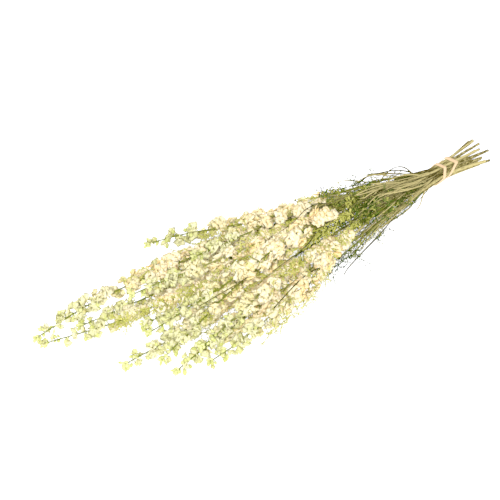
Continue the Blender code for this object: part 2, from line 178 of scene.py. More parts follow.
# Centre line from the cut end to the tip: the solid's stations, and the smooth line
def stemLine(row, place, tip, heading, rise, cutLength):
    y, z = tiePlace(row, place)
    stations, smooth = [], []
    right = bunch["straightRight"]
    for line, steps in ((stations, bunch["splaySteps"]), (smooth, 10)):
        for step in range(steps, -1, -1):
            x = right + (cutLength - right) * (step / steps) ** 1.6
            line.append(Vector((x, *splay(x, y, z))))
    start = Vector((bunch["straightLeft"], y, z))
    tip = Vector(tip)
    reach = start.x - tip.x
    fanRise = (z - bunch["firstRowZ"]) * bunch["fanUpward"] + bunch["fanLift"]
    fan = Vector((-1, (y - bunch["bundleY"]) * bunch["fanSideways"], fanRise))
    turn = math.radians(heading)
    dip = math.radians(rise)
    along = Vector((
        -math.cos(turn) * math.cos(dip),
        math.sin(turn) * math.cos(dip),
        math.sin(dip),
    ))
    handles = (
        start,
        start + fan * reach * bunch["nearHandle"],
        tip - along * reach * bunch["farHandle"],
        tip,
    )
    fine = bezierLine(handles, 200)
    fineX = [-p.x for p in fine]
    for step, line in ((bunch["stationStep"], stations), (6.0, smooth)):
        count = round(reach / step)
        for k in range(count + 1):
            x = -start.x + reach * k / count
            y = np.interp(x, fineX, [p.y for p in fine])
            z = np.interp(x, fineX, [p.z for p in fine])
            line.append(Vector((-x, y, z)))
    # the drawn stem sways a little once it is clear of the tie
    for p in smooth:
        free = min(1.0, max(0.0, -p.x - 25) / 90)
        p.y += bunch["sway"] * free * math.sin(p.x * 0.047 + row * 2.1 + place * 1.3)
        p.z += bunch["sway"] * free * math.sin(p.x * 0.039 + row * 1.2 + place * 2.7)
    return stations, smooth


# Points close together along a line, for measuring distances
def samples(line):
    points = []
    for a, b in zip(line, line[1:]):
        count = max(1, math.ceil((b - a).length / bunch["sampleStep"]))
        for k in range(count):
            points.append(a.lerp(b, k / count))
    points.append(line[-1])
    return np.array([tuple(p) for p in points])


class Stalk:
    def __init__(self, node, seed, lines, flowerShare, leafCount):
        self.node = node
        self.rng = random.Random(seed)
        self.fineRng = random.Random(seed * 7 + 1)
        self.line, self.smooth = lines
        self.tip = self.line[-1]
        self.own = samples(self.line)
        self.others = None
        self.flowerShare = flowerShare
        self.leafCount = leafCount
        self.heads = []
        self.florets = []  # what the solid has: florets, buds and leaves
        self.buds = []
        self.leaves = []
        self.shapes = []  # small shapes set on the stem
        self.paths = []  # thin stalks: points, radii, age

    # Point on the centre line at a given x, and the direction to the tip
    def at(self, x, line=None):
        line = line or self.line
        for a, b in zip(line, line[1:]):
            if a.x >= x >= b.x:
                share = (a.x - x) / (a.x - b.x)
                return a.lerp(b, share), (b - a).normalized()
        return self.tip.copy(), (self.tip - line[-2]).normalized()

    # Foot of a point on the centre line, and the share of the way out to it that
    # stays above the table and on this stem's side of the half-way planes
    def room(self, point):
        place = np.array(tuple(point))
        gaps = self.own - place
        foot = self.own[np.argmin((gaps * gaps).sum(axis=1))]
        out = place - foot
        share = foot[2] / -out[2] if out[2] < 0 else math.inf
        span = self.others - foot
        length = np.sqrt((span * span).sum(axis=1))
        facing = span @ out
        ahead = facing > 1e-6
        if ahead.any():
            half = np.maximum(length[ahead] / 2 - spike["roomMargin"], 0.2)
            share = min(share, float((half * length[ahead] / facing[ahead]).min()))
        return Vector(foot), share

    def tightest(self, points):
        return min(self.room(point)[1] for point in points)

    # The way out near the wished azimuth that has room and clears the other heads
    def openWay(self, foot, along, azimuth, reach, size=0.0):
        best = None
        side = along.cross(Vector((0, 0, 1))).normalized()
        over = side.cross(along).normalized()
        for turn in spike["turns"]:
            angle = azimuth + math.radians(turn)
            out = around(side, over, angle)
            share = min(1.0, self.room(foot + out * reach)[1])
            middle = foot + out * reach * 0.6
            for head, headSize in self.heads if size else ():
                share = min(share, (middle - head).length / (spike["headSpacing"] * (size + headSize)))
            if best is None or share > best[0]:
                best = (share, out, middle)
            if share >= 1:
                break
        return best[1], best[2]


def crossAxes(normal, spin):
    first = normal.orthogonal().normalized()
    second = normal.cross(first)
    return (
        around(first, second, spin),
        second * math.cos(spin) - first * math.sin(spin),
    )


# The leaves of the solid, in the same draws
def layLeaves(stalk, nearX, farX):
    rng = stalk.rng
    for k in range(stalk.leafCount):
        share = (k + rng.uniform(0.1, 0.9)) / stalk.leafCount
        foot, along = stalk.at(nearX + (farX - nearX) * share)
        azimuth = rng.uniform(0, 2 * math.pi)
        size = rng.uniform(0.8, 1.1)
        spin = rng.uniform(-0.7, 0.7)
        out, _ = stalk.openWay(foot, along, azimuth, spike["leafStalk"])
        stalk.leaves.append((foot, along, out, size, spin))


# The florets and buds of the solid, in the same draws
def layFlowers(stalk):
    rng = stalk.rng
    zone = -stalk.tip.x * stalk.flowerShare
    floretZone = zone * spike["floretZone"]
    count = round(floretZone / spike["floretSpacing"])
    azimuth = rng.uniform(0, 2 * math.pi)
    for k in range(count):
        share = (k + 0.5) / count
        foot, along = stalk.at(stalk.tip.x + zone - floretZone * share)
        azimuth += spike["goldenAngle"] + rng.uniform(-0.2, 0.2)
        size = spike["floretRadiusFoot"] + (spike["floretRadiusTop"] - spike["floretRadiusFoot"]) * share
        size *= rng.uniform(0.92, 1.08)
        pedicel = spike["pedicelFoot"] + (spike["pedicelTop"] - spike["pedicelFoot"]) * share
        pedicel *= rng.uniform(0.85, 1.12)
        spin = rng.uniform(0, 2 * math.pi)
        nod = rng.uniform(-0.25, 0.5)
        reach = pedicel * 0.8 + size * 0.5
        out, middle = stalk.openWay(foot, along, azimuth, reach, size)
        climb = spike["pedicelClimb"]
        way = around(out, along, climb)
        facing = around(out, along, nod).normalized()
        u, v = crossAxes(facing, spin)
        for _ in range(9):
            centre = foot + way * pedicel
            if stalk.tightest(headEdge(centre, facing, u, v, size)) > 0.80:
                break
            size *= 0.9
            pedicel *= 0.94
        if size >= spike["floretRadiusLeast"]:
            stalk.heads.append((middle, size))
            stalk.florets.append((foot, along, centre, facing, u, v, size, share))
    budZone = zone - floretZone
    budCount = round(budZone / spike["budSpacing"])
    for k in range(budCount):
        share = (k + 0.5) / budCount
        foot, along = stalk.at(stalk.tip.x + budZone * (1 - share) + 1.0)
        azimuth += spike["goldenAngle"]
        out, _ = stalk.openWay(foot, along, azimuth, spike["budLength"])
        stalk.buds.append((foot, along, out, 1.05 - 0.4 * share, share))


# Rim and neck of the solid's floret, for the room that it has
def headEdge(centre, facing, u, v, size):
    points = []
    for petal in range(5):
        middle = 2 * math.pi * petal / 5
        lift = 0.20 if petal % 2 else 0.08
        for angle, reach, height in (
            (middle - math.pi / 5, spike["petalNotch"], -0.06),
            (middle - spike["petalHalfAngle"], 0.97, lift - 0.10),
            (middle + spike["petalHalfAngle"], 1.0, lift + 0.10),
        ):
            flat = around(u, v, angle)
            points.append(centre + (flat * reach + facing * height) * size)
    neck = centre - facing * size * 0.36
    for k in range(3):
        angle = 2 * math.pi * k / 3
        points.append(neck + around(u, v, angle) * size * 0.13)
    return points


stalks = []
for number, row in enumerate(flowerStems):
    lines = stemLine(*row[:5], bunch["cutLengths"][number * 3 % 7])
    node = f"flower_stem_{number + 1:02d}"
    stalks.append(Stalk(node, bunch["seed"] + number, lines, row[5], spike["leavesByRow"][row[0]]))
for number, row in enumerate(leafStems):
    lines = stemLine(*row, bunch["cutLengths"][(number * 2 + 1) % 7])
    node = f"leaf_stem_{number + 1}"
    stalks.append(Stalk(node, bunch["seed"] + 20 + number, lines, 0, spike["leavesOnLeafStem"]))
for stalk in stalks:
    stalk.others = np.concatenate([other.own for other in stalks if other is not stalk])
for stalk in stalks:
    if stalk.flowerShare:
        firstX = stalk.tip.x * (1 - stalk.flowerShare)
        layLeaves(stalk, firstX * 0.45, firstX)
        layFlowers(stalk)
    else:
        layLeaves(stalk, stalk.tip.x * 0.4, stalk.tip.x + 2)
print("laid out:", sum(len(s.florets) for s in stalks), "florets of the solids")


# Colours and finishes

def linear(code, alpha=1.0):
    shades = []
    for start in (1, 3, 5):
        share = int(code[start:start + 2], 16) / 255
        shades.append(share / 12.92 if share <= 0.04045 else ((share + 0.055) / 1.055) ** 2.4)
    return (*shades, alpha)


# Adds a node with its settings and links; an input is named or numbered
def addNode(tree, kind, settings=None, links=None):
    node = tree.nodes.new(kind)
    for name, value in (settings or {}).items():
        if isinstance(name, str) and hasattr(node, name):
            setattr(node, name, value)
        else:
            node.inputs[name].default_value = value
    for name, socket in (links or {}).items():
        tree.links.new(socket, node.inputs[name])
    return node


def newFinish(name):
    finish = bpy.data.materials.new(name)
    finish.use_nodes = True
    tree = finish.node_tree
    shader = tree.nodes["Principled BSDF"]
    return finish, tree, shader


def setRamp(node, stops):
    ramp = node.color_ramp
    while len(ramp.elements) > len(stops):
        ramp.elements.remove(ramp.elements[-1])
    while len(ramp.elements) < len(stops):
        ramp.elements.new(1.0)
    for element, (place, code) in zip(ramp.elements, stops):
        element.position = place
        element.color = linear(code)


# Sets colour, roughness, gloss and a fine relief on the shader's own sockets
def setSurface(tree, shader, look, colour, height=None):
    tree.links.new(colour, shader.inputs["Base Color"])
    shader.inputs["Roughness"].default_value = look["roughness"]
    shader.inputs["Specular IOR Level"].default_value = look["gloss"]
    if height is not None:
        strength, depth = look["relief"]
        bump = addNode(tree, "ShaderNodeBump", {"Strength": strength, "Distance": depth}, {"Height": height})
        tree.links.new(bump.outputs["Normal"], shader.inputs["Normal"])


sepalLook = {
    "ivory": "#FFF4C4",
    "cream": "#FFE9A4",
    "peach": "#FDD780",
    "straw": "#EAC848",
    "youngCream": "#EBE6A6",
    "youngGreen": "#B2B95A",
    # claw tint: partly the claws' own colour, partly painted golden shade deep in the floret
    "heart": "#D0B83A",
    "clawTintAndShade": 0.42,  # the share of a sepal's length that is tinted like the heart, partly the claw's own colour and partly painted shade deep in the floret
    "glow": 0.42,  # share of the light that passes through a sepal
    "depth": 1.3,  # light that has passed through is deeper in colour
    "gloss": 0.03,  # dry and dull, without the wax of a fresh flower
    "roughness": 0.72,
    "blotch": 900.0,  # noise scale per metre: blotches about 1 mm across
    "crinkle": 3200.0,  # creases about 0.3 mm wide
    "relief": (0.35, 0.0003),  # strength, and depth in metres
}


# Larkspur sepals, air dried: papery, creased, ivory with straw and peach blushes, and a claw tint that is
# partly painted shade
def makeSepalFinish():
    finish, tree, shader = newFinish("air_dried_larkspur_sepal")
    look = sepalLook
    place = addNode(tree, "ShaderNodeTexCoord")
    tone, age, run = (addNode(tree, "ShaderNodeAttribute", {"attribute_name": name})
                      for name in ("tone", "age", "run"))
    blotch = addNode(tree, "ShaderNodeTexNoise", {"Scale": look["blotch"], "Detail": 3.0},
                     {"Vector": place.outputs["Object"]})
    mixed = addNode(tree, "ShaderNodeMath", {"operation": "MULTIPLY_ADD", 1: 0.42},
                    {0: tone.outputs["Fac"], 2: blotch.outputs["Fac"]})
    bloom = addNode(tree, "ShaderNodeValToRGB", None, {"Fac": mixed.outputs[0]})
    setRamp(bloom, (
        (0.28, look["ivory"]), (0.58, look["cream"]), (0.78, look["peach"]), (0.98, look["straw"]),
    ))
    young = addNode(tree, "ShaderNodeValToRGB", None, {"Fac": mixed.outputs[0]})
    setRamp(young, ((0.25, look["youngCream"]), (0.75, look["youngGreen"])))
    colour = addNode(tree, "ShaderNodeMix", {"data_type": "RGBA"},
                     {"Factor": age.outputs["Fac"], "A": bloom.outputs["Color"], "B": young.outputs["Color"]})
    # the claw of each sepal, deep in the floret, is yellow-green: partly its own colour, partly painted
    # golden shade
    clawTintAndShade = addNode(tree, "ShaderNodeMapRange",
                   {"From Min": 0.0, "From Max": look["clawTintAndShade"], "To Min": 0.75, "To Max": 0.0},
                   {"Value": run.outputs["Fac"]})
    tinted = addNode(tree, "ShaderNodeMix", {"data_type": "RGBA", "B": linear(look["heart"])},
                     {"Factor": clawTintAndShade.outputs["Result"], "A": colour.outputs["Result"]})
    crinkle = addNode(tree, "ShaderNodeTexNoise", {"Scale": look["crinkle"], "Detail": 2.0},
                      {"Vector": place.outputs["Object"]})
    setSurface(tree, shader, look, tinted.outputs["Result"], crinkle.outputs["Fac"])
    shader.inputs["IOR"].default_value = 1.4
    # a dry sepal is thin enough to glow when lit from behind
    deeper = addNode(tree, "ShaderNodeGamma", {"Gamma": look["depth"]}, {"Color": tinted.outputs["Result"]})
    through = addNode(tree, "ShaderNodeBsdfTranslucent", None, {"Color": deeper.outputs["Color"]})
    both = addNode(tree, "ShaderNodeMixShader", {0: look["glow"]},
                   {1: shader.outputs["BSDF"], 2: through.outputs["BSDF"]})
    tree.links.new(both.outputs["Shader"], tree.nodes["Material Output"].inputs["Surface"])
    return finish


greenLook = {
    "bud": "#B3B662",
    "budShade": "#838832",
    "lime": "#B4AE42",
    "limeShade": "#76781A",
    "leaf": "#203606",
    "leafDark": "#030900",
    "leafDry": "#5A6A20",
    "gloss": 0.0,
    "roughness": 0.68,
    "patch": 700.0,  # patches about 1.5 mm across
    "relief": (0.3, 0.0002),
}


# Buds, bracts and needle leaves, air dried in the dark, which keeps them green
def makeGreenFinish():
    finish, tree, shader = newFinish("air_dried_bud_and_leaf")
    look = greenLook
    place = addNode(tree, "ShaderNodeTexCoord")
    tone, age = (addNode(tree, "ShaderNodeAttribute", {"attribute_name": name}) for name in ("tone", "age"))
    patch = addNode(tree, "ShaderNodeTexNoise", {"Scale": look["patch"], "Detail": 3.0},
                    {"Vector": place.outputs["Object"]})
    mixed = addNode(tree, "ShaderNodeMath", {"operation": "MULTIPLY_ADD", 1: 0.5},
                    {0: tone.outputs["Fac"], 2: patch.outputs["Fac"]})
    leaf, bud, lime = (addNode(tree, "ShaderNodeValToRGB", None, {"Fac": mixed.outputs[0]}) for _ in range(3))
    setRamp(leaf, ((0.25, look["leafDark"]), (0.6, look["leaf"]), (0.95, look["leafDry"])))
    setRamp(bud, ((0.3, look["budShade"]), (0.75, look["bud"])))
    setRamp(lime, ((0.3, look["limeShade"]), (0.8, look["lime"])))
    # age 0 is a low leaf, 0.5 a leaf among the flowers, 1 a bud
    limeShare = addNode(tree, "ShaderNodeMapRange", {"From Min": 0.25, "From Max": 0.5},
                        {"Value": age.outputs["Fac"]})
    budShare = addNode(tree, "ShaderNodeMapRange", {"From Min": 0.6}, {"Value": age.outputs["Fac"]})
    fresh = addNode(tree, "ShaderNodeMix", {"data_type": "RGBA"}, {
        "Factor": limeShare.outputs["Result"],
        "A": leaf.outputs["Color"],
        "B": lime.outputs["Color"],
    })
    colour = addNode(tree, "ShaderNodeMix", {"data_type": "RGBA"}, {
        "Factor": budShare.outputs["Result"],
        "A": fresh.outputs["Result"],
        "B": bud.outputs["Color"],
    })
    setSurface(tree, shader, look, colour.outputs["Result"], patch.outputs["Fac"])
    return finish


stalkLook = {
    "straw": "#928246",
    "olive": "#342C0A",
    "dark": "#070501",
    "green": "#3C4407",
    "gloss": 0.0,
    "roughness": 0.6,
    "streak": 1040.0,  # noise scale per metre: streaks about 1 mm wide
    "stretch": 0.1,  # and ten times as long, about 10 mm
    "relief": (0.25, 0.0002),
}


# Larkspur stalk, air dried: finely ribbed straw to olive, greener near the tip
def makeStalkFinish():
    finish, tree, shader = newFinish("air_dried_larkspur_stalk")
    look = stalkLook
    place = addNode(tree, "ShaderNodeTexCoord")
    tone, age = (addNode(tree, "ShaderNodeAttribute", {"attribute_name": name}) for name in ("tone", "age"))
    # stretched along X, the way the stems run
    stretch = addNode(tree, "ShaderNodeMapping", {"Scale": (look["stretch"], 1.0, 1.0)},
                      {"Vector": place.outputs["Object"]})
    streak = addNode(tree, "ShaderNodeTexNoise", {"Scale": look["streak"], "Detail": 3.0},
                     {"Vector": stretch.outputs["Vector"]})
    mixed = addNode(tree, "ShaderNodeMath", {"operation": "MULTIPLY_ADD", 1: 0.5},
                    {0: tone.outputs["Fac"], 2: streak.outputs["Fac"]})
    # the tone also carries the painted shade of the stems at the back of the bunch
    old = addNode(tree, "ShaderNodeValToRGB", None, {"Fac": mixed.outputs[0]})
    setRamp(old, ((0.32, look["dark"]), (0.5, look["olive"]), (0.72, look["straw"])))
    colour = addNode(tree, "ShaderNodeMix", {"data_type": "RGBA", "B": linear(look["green"])},
                     {"Factor": age.outputs["Fac"], "A": old.outputs["Color"]})
    setSurface(tree, shader, look, colour.outputs["Result"], streak.outputs["Fac"])
    return finish


pithLook = {
    "pore": "#7E8468",
    "pith": "#B7BA9C",
    "pores": 2400.0,  # pores about 0.4 mm across, drawn coarser than real ones
    "roughness": 0.9,
    "gloss": 0.5,
}


# The pith that a cut end shows, pale and spongy
def makePithFinish():
    finish, tree, shader = newFinish("cut_stalk_pith")
    place = addNode(tree, "ShaderNodeTexCoord")
    pores = addNode(tree, "ShaderNodeTexNoise", {"Scale": pithLook["pores"], "Detail": 2.0},
                    {"Vector": place.outputs["Object"]})
    shade = addNode(tree, "ShaderNodeValToRGB", None, {"Fac": pores.outputs["Fac"]})
    setRamp(shade, ((0.35, pithLook["pore"]), (0.7, pithLook["pith"])))
    setSurface(tree, shader, pithLook, shade.outputs["Color"])
    return finish


rubberLook = {
    "dull": "#AC8252",
    "fair": "#C29A6A",
    "cloud": 450.0,  # clouds about 2 mm across
    "roughness": 0.55,
    "gloss": 0.2,
    "relief": (0.15, 0.0002),
}


# Crepe rubber of a cut band: soft beige, faintly clouded, matt
def makeRubberFinish():
    finish, tree, shader = newFinish("natural_crepe_rubber")
    place = addNode(tree, "ShaderNodeTexCoord")
    cloud = addNode(tree, "ShaderNodeTexNoise", {"Scale": rubberLook["cloud"], "Detail": 4.0},
                    {"Vector": place.outputs["Object"]})
    shade = addNode(tree, "ShaderNodeValToRGB", None, {"Fac": cloud.outputs["Fac"]})
    setRamp(shade, ((0.3, rubberLook["dull"]), (0.7, rubberLook["fair"])))
    setSurface(tree, shader, rubberLook, shade.outputs["Color"], cloud.outputs["Fac"])
    return finish


sepalFinish = makeSepalFinish()
greenFinish = makeGreenFinish()
stalkFinish = makeStalkFinish()
pithFinish = makePithFinish()
rubberFinish = makeRubberFinish()
print("finishes made")


# Small shapes, each of unit length along X with its inner face towards +Z

def shapeObject(name, verts, faces, run):
    mesh = bpy.data.meshes.new(name)
    mesh.from_pydata(verts, [], faces)
    layer = mesh.attributes.new("run", "FLOAT", "POINT")
    layer.data.foreach_set("value", run)
    shape = bmesh.new()
    shape.from_mesh(mesh)
    bmesh.ops.recalc_face_normals(shape, faces=shape.faces)
    shape.to_mesh(mesh)
    shape.free()
    mesh.shade_smooth()
    return bpy.data.objects.new(name, mesh)


petalShape = {
    "broad": (0.14, 0.50, 0.66, 0.26),  # half width, claw to rim, as a share of length
    "narrow": (0.15, 0.40, 0.18),
    "thickness": 0.030,
    "curl": 0.30,
    "ruffle": 0.20,
    "across": 2,  # faces across; a petal has few, because there are thousands
    "variants": 6,
}


# A creased petal: two skins that share their rim
def makePetal(name, widths, across, seed):
    rng = random.Random(seed)
    curl = petalShape["curl"] * rng.uniform(-1.2, 1.0)
    cup = rng.uniform(-0.3, 0.35)
    wave = rng.uniform(0, 2 * math.pi)
    waves = rng.uniform(1.4, 2.8)
    lean = rng.uniform(-0.15, 0.15)
    rows = len(widths)
    skin = []
    for i, width in enumerate(widths):
        s = i / (rows - 1)
        line = []
        for j in range(across + 1):
            t = 2 * j / across - 1
            x = s - 0.20 * t * t * s * s + rng.uniform(-0.05, 0.05) * s
            y = t * width + lean * s * s
            z = curl * s * s + cup * t * t * width
            z += petalShape["ruffle"] * s * math.sin(waves * math.pi * t + wave) * (0.4 + 0.6 * abs(t))
            z += rng.uniform(-0.055, 0.055) * s
            line.append(Vector((x, y, z)))
        skin.append(line)
    verts, run, top, under = [], [], {}, {}
    for i in range(rows):
        for j in range(across + 1):
            rim = i in (0, rows - 1) or j in (0, across)
            for half, table in ((0.5, top), (-0.5, under)):
                if rim and half < 0:
                    table[i, j] = top[i, j]
                    continue
                lift = 0 if rim else half * petalShape["thickness"]
                table[i, j] = len(verts)
                verts.append(skin[i][j] + Vector((0, 0, lift)))
                run.append(i / (rows - 1))
    faces = []
    for i in range(rows - 1):
        for j in range(across):
            faces.append((top[i, j], top[i + 1, j], top[i + 1, j + 1], top[i, j + 1]))
            faces.append((under[i, j], under[i, j + 1], under[i + 1, j + 1], under[i + 1, j]))
    return shapeObject(name, verts, faces, run)


# A closed body of rings along a line; the ends are points
def makeTurned(name, line, radii, sides, flat=1.0):
    verts, run, faces = [Vector(line[0])], [0.0], []
    last = len(line) - 1
    for i in range(1, last):
        for k in range(sides):
            angle = 2 * math.pi * k / sides
            spread = Vector((0, math.cos(angle) * radii[i], math.sin(angle) * radii[i] * flat))
            verts.append(Vector(line[i]) + spread)
            run.append(i / last)
    verts.append(Vector(line[last]))
    run.append(1.0)
    end = len(verts) - 1
    for k in range(sides):
        turn = (k + 1) % sides
        faces.append((0, 1 + turn, 1 + k))
        faces.append((end, end - sides + k, end - sides + turn))
        for i in range(last - 2):
            a = 1 + i * sides
            b = a + sides
            faces.append((a + k, a + turn, b + turn, b + k))
    return shapeObject(name, verts, faces, run)


# Forms in the order of their numbers
forms = bpy.data.collections.new("spike_forms")
formNumber = {}


def keepForm(name, make, *values):
    forms.objects.link(make(f"{len(formNumber):02d}_{name}", *values))
    formNumber[name] = len(formNumber)


for kind, firstSeed in (("broad", 40), ("narrow", 60)):
    for k in range(petalShape["variants"]):
        keepForm(f"{kind}{k}", makePetal, petalShape[kind], petalShape["across"], firstSeed + k)
line = [(0, 0, 0), (0.3, 0, 0), (0.8, 0, 0), (1, 0, 0)]
keepForm("heart", makeTurned, line, (0, 0.36, 0.26, 0), 4)
line = [(0, 0, 0), (0.2, 0, 0.01), (0.6, 0, 0.10), (1, 0, 0.30)]
keepForm("spur", makeTurned, line, (0, 0.15, 0.085, 0), 4)
for k, bulge in enumerate((0.33, 0.27)):
    line = [(0, 0, 0), (0.18, 0, 0), (0.5, 0, 0.02), (0.82, 0, 0), (1, 0, -0.03)]
    keepForm(f"bud{k}", makeTurned, line, (0, bulge * 0.62, bulge, bulge * 0.6, 0), 5)
for k, bend in enumerate((-0.22, 0.0, 0.25)):
    line = [(0, 0, 0), (0.45, 0.02, bend * 0.6), (1, 0, bend)]
    keepForm(f"needle{k}", makeTurned, line, (0, 0.5, 0), 3, 0.6)
print("forms made:", len(formNumber))


# A node group with named inputs, the inputs' identifiers and its first node
def newTree(name, inputs):
    tree = bpy.data.node_groups.new(name, "GeometryNodeTree")
    sockets = {}
    for label, kind in (("Geometry", "Geometry"), *inputs):
        socket = tree.interface.new_socket(label, in_out="INPUT", socket_type="NodeSocket" + kind)
        sockets[label] = socket.identifier
    tree.interface.new_socket("Geometry", in_out="OUTPUT", socket_type="NodeSocketGeometry")
    return tree, sockets, addNode(tree, "NodeGroupInput")


# Node group that sets the forms on the points of a stem
def makeSpikeTree():
    tree, sockets, start = newTree("forms_on_spike", (
        ("Forms", "Collection"), ("Size", "Float"), ("Petals", "Material"), ("Greens", "Material"),
    ))
    choice = addNode(tree, "GeometryNodeCollectionInfo", {"Separate Children": True, "Reset Children": True},
                     {"Collection": start.outputs["Forms"]})
    aim = addNode(tree, "GeometryNodeInputNamedAttribute", {"data_type": "QUATERNION", "Name": "aim"})
    form = addNode(tree, "GeometryNodeInputNamedAttribute", {"data_type": "INT", "Name": "form"})
    spread = addNode(tree, "GeometryNodeInputNamedAttribute", {"data_type": "FLOAT_VECTOR", "Name": "spread"})
    sized = addNode(tree, "ShaderNodeVectorMath", {"operation": "SCALE"},
                    {0: spread.outputs["Attribute"], "Scale": start.outputs["Size"]})
    setOn = addNode(tree, "GeometryNodeInstanceOnPoints", {"Pick Instance": True}, {
        "Points": start.outputs["Geometry"],
        "Instance": choice.outputs["Instances"],
        "Instance Index": form.outputs["Attribute"],
        "Rotation": aim.outputs["Attribute"],
        "Scale": sized.outputs["Vector"],
    })
    real = addNode(tree, "GeometryNodeRealizeInstances", None, {"Geometry": setOn.outputs["Instances"]})
    petals = addNode(tree, "GeometryNodeSetMaterial", None,
                     {"Geometry": real.outputs["Geometry"], "Material": start.outputs["Petals"]})
    kind = addNode(tree, "GeometryNodeInputNamedAttribute", {"data_type": "BOOLEAN", "Name": "green"})
    greens = addNode(tree, "GeometryNodeSetMaterial", None, {
        "Geometry": petals.outputs["Geometry"],
        "Selection": kind.outputs["Attribute"],
        "Material": start.outputs["Greens"],
    })
    addNode(tree, "NodeGroupOutput", None, {"Geometry": greens.outputs["Geometry"]})
    return tree, sockets


# Node group that sweeps a ribbed tube along stalk lines
def makeStalkTree():
    tree, sockets, start = newTree("ribbed_stalk", (
        ("Sides", "Int"), ("Ribs", "Int"), ("Rib Depth", "Float"), ("Finish", "Material"),
    ))
    line = addNode(tree, "GeometryNodeMeshToCurve", None, {"Mesh": start.outputs["Geometry"]})
    radius = addNode(tree, "GeometryNodeInputNamedAttribute", {"data_type": "FLOAT", "Name": "girth"})
    thick = addNode(tree, "GeometryNodeSetCurveRadius", None,
                    {"Curve": line.outputs["Curve"], "Radius": radius.outputs["Attribute"]})
    section = addNode(tree, "GeometryNodeCurvePrimitiveCircle", {"Radius": 1.0},
                      {"Resolution": start.outputs["Sides"]})
    # ribs: the section's points move in and out by turns
    count = addNode(tree, "GeometryNodeSplineParameter")
    angle = addNode(tree, "ShaderNodeMath", {"operation": "MULTIPLY"},
                    {0: count.outputs["Factor"], 1: start.outputs["Ribs"]})
    turn = addNode(tree, "ShaderNodeMath", {"operation": "MULTIPLY", 1: 2 * math.pi}, {0: angle.outputs[0]})
    wave = addNode(tree, "ShaderNodeMath", {"operation": "SINE"}, {0: turn.outputs[0]})
    depth = addNode(tree, "ShaderNodeMath", {"operation": "MULTIPLY_ADD", 2: 1.0},
                    {0: wave.outputs[0], 1: start.outputs["Rib Depth"]})
    spot = addNode(tree, "GeometryNodeInputPosition")
    moved = addNode(tree, "ShaderNodeVectorMath", {"operation": "SCALE"},
                    {0: spot.outputs["Position"], "Scale": depth.outputs[0]})
    ribbed = addNode(tree, "GeometryNodeSetPosition", None,
                     {"Geometry": section.outputs["Curve"], "Position": moved.outputs["Vector"]})
    own = addNode(tree, "GeometryNodeInputRadius")
    tube = addNode(tree, "GeometryNodeCurveToMesh", {"Fill Caps": True}, {
        "Curve": thick.outputs["Curve"],
        "Profile Curve": ribbed.outputs["Geometry"],
        "Scale": own.outputs["Radius"],
    })
    soft = addNode(tree, "GeometryNodeSetShadeSmooth", None, {0: tube.outputs["Mesh"]})
    real = addNode(tree, "GeometryNodeRealizeInstances", None, {"Geometry": soft.outputs[0]})
    last = addNode(tree, "GeometryNodeSetMaterial", None,
                   {"Geometry": real.outputs["Geometry"], "Material": start.outputs["Finish"]})
    addNode(tree, "NodeGroupOutput", None, {"Geometry": last.outputs["Geometry"]})
    return tree, sockets


spikeTree, spikeSockets = makeSpikeTree()
stalkTree, stalkSockets = makeStalkTree()
print("node groups built")


def addObject(name, data):
    item = bpy.data.objects.new(name, data)
    bpy.context.scene.collection.objects.link(item)
    return item


# Runs a node group on a mesh of points or lines and returns the plain mesh
def runTree(name, mesh, tree, sockets, values):
    holder = addObject(name, mesh)
    modifier = holder.modifiers.new("grow", "NODES")
    modifier.node_group = tree
    for socket, value in values.items():
        modifier[sockets[socket]] = value
    holder.update_tag()
    depsgraph = bpy.context.evaluated_depsgraph_get()
    made = bpy.data.meshes.new_from_object(holder.evaluated_get(depsgraph), depsgraph=depsgraph)
    holder.modifiers.clear()
    bpy.data.objects.remove(holder)
    return made


def setLayer(mesh, name, kind, values):
    layer = mesh.attributes.new(name, kind, "POINT")
    key = {"FLOAT_VECTOR": "vector"}.get(kind, "value")
    layer.data.foreach_set(key, np.array(values).ravel())


# Sets one small shape: its foot, the way it points, and the way its inner face looks
def setShape(stalk, form, foot, way, inner, size, green, age, tone):
    x = way.normalized()
    y = inner.cross(x)
    y = y.normalized() if y.length > 1e-6 else x.orthogonal().normalized()
    z = x.cross(y)
    aim = tuple(Matrix((x, y, z)).transposed().to_quaternion())
    stalk.shapes.append((foot, aim, size, formNumber[form], green, age, tone))


floretShape = {
    "cluster": 4,  # real florets are smaller and closer than the solids' ones
    "size": 0.62,  # of the solid's floret
    "offset": 0.60,
    "fillStep": 6.4,  # millimetres of stem for each floret that fills a gap
    "rings": (  # petals, least and most opening, length, form
        (5, 66, 116, 1.12, "broad"),
        (4, 30, 92, 0.92, "broad"),
        (3, 0, 60, 0.66, "narrow"),
    ),
    "youngRings": (
        (4, 40, 80, 1.0, "broad"),
        (3, 5, 40, 0.85, "narrow"),
    ),
    "pedicelRadius": 0.42,
    "least": 5.0,
    "closing": math.radians(30),  # how much less a young floret opens
    "heartSize": 0.26,  # of the floret's radius
    "spurSize": 0.8,
    "ageRate": 1.8,  # florets turn green over the last part of the spike
    "groupGreens": 0.67,  # from this share on
    "fillGreens": 0.65,
    "fillRadius": (6.8, 9.2),
    "fillReach": (9.0, 17.0),
    "fillLook": 16.0,  # how far out the way is looked for
    "fillBracts": (3, 12.0),  # how many, how long
    "thin": 0.38,  # up to this share of the spike fine leaves stand between the florets
    "bare": 0.6,  # share of the single florets missing there and on the open side
}
openSide = Vector((0.0, -0.6, 0.8))


def thread(stalk, points, thick, thin, age, tone):
    count = len(points) - 1
    radii = [thick + (thin - thick) * k / count for k in range(count + 1)]
    stalk.paths.append((points, radii, age, tone))


# A pedicel leaves the stem steeply and curves out to the back of its floret
def addPedicel(stalk, foot, along, end, facing, age, tone):
    reach = (end - foot).length
    handles = (
        foot,
        foot + along * reach * 0.25 + (end - foot) * 0.25,
        end - facing * reach * 0.30,
        end,
    )
    radius = floretShape["pedicelRadius"]
    thread(stalk, bezierLine(handles, 3), radius * 1.25, radius, age, tone)


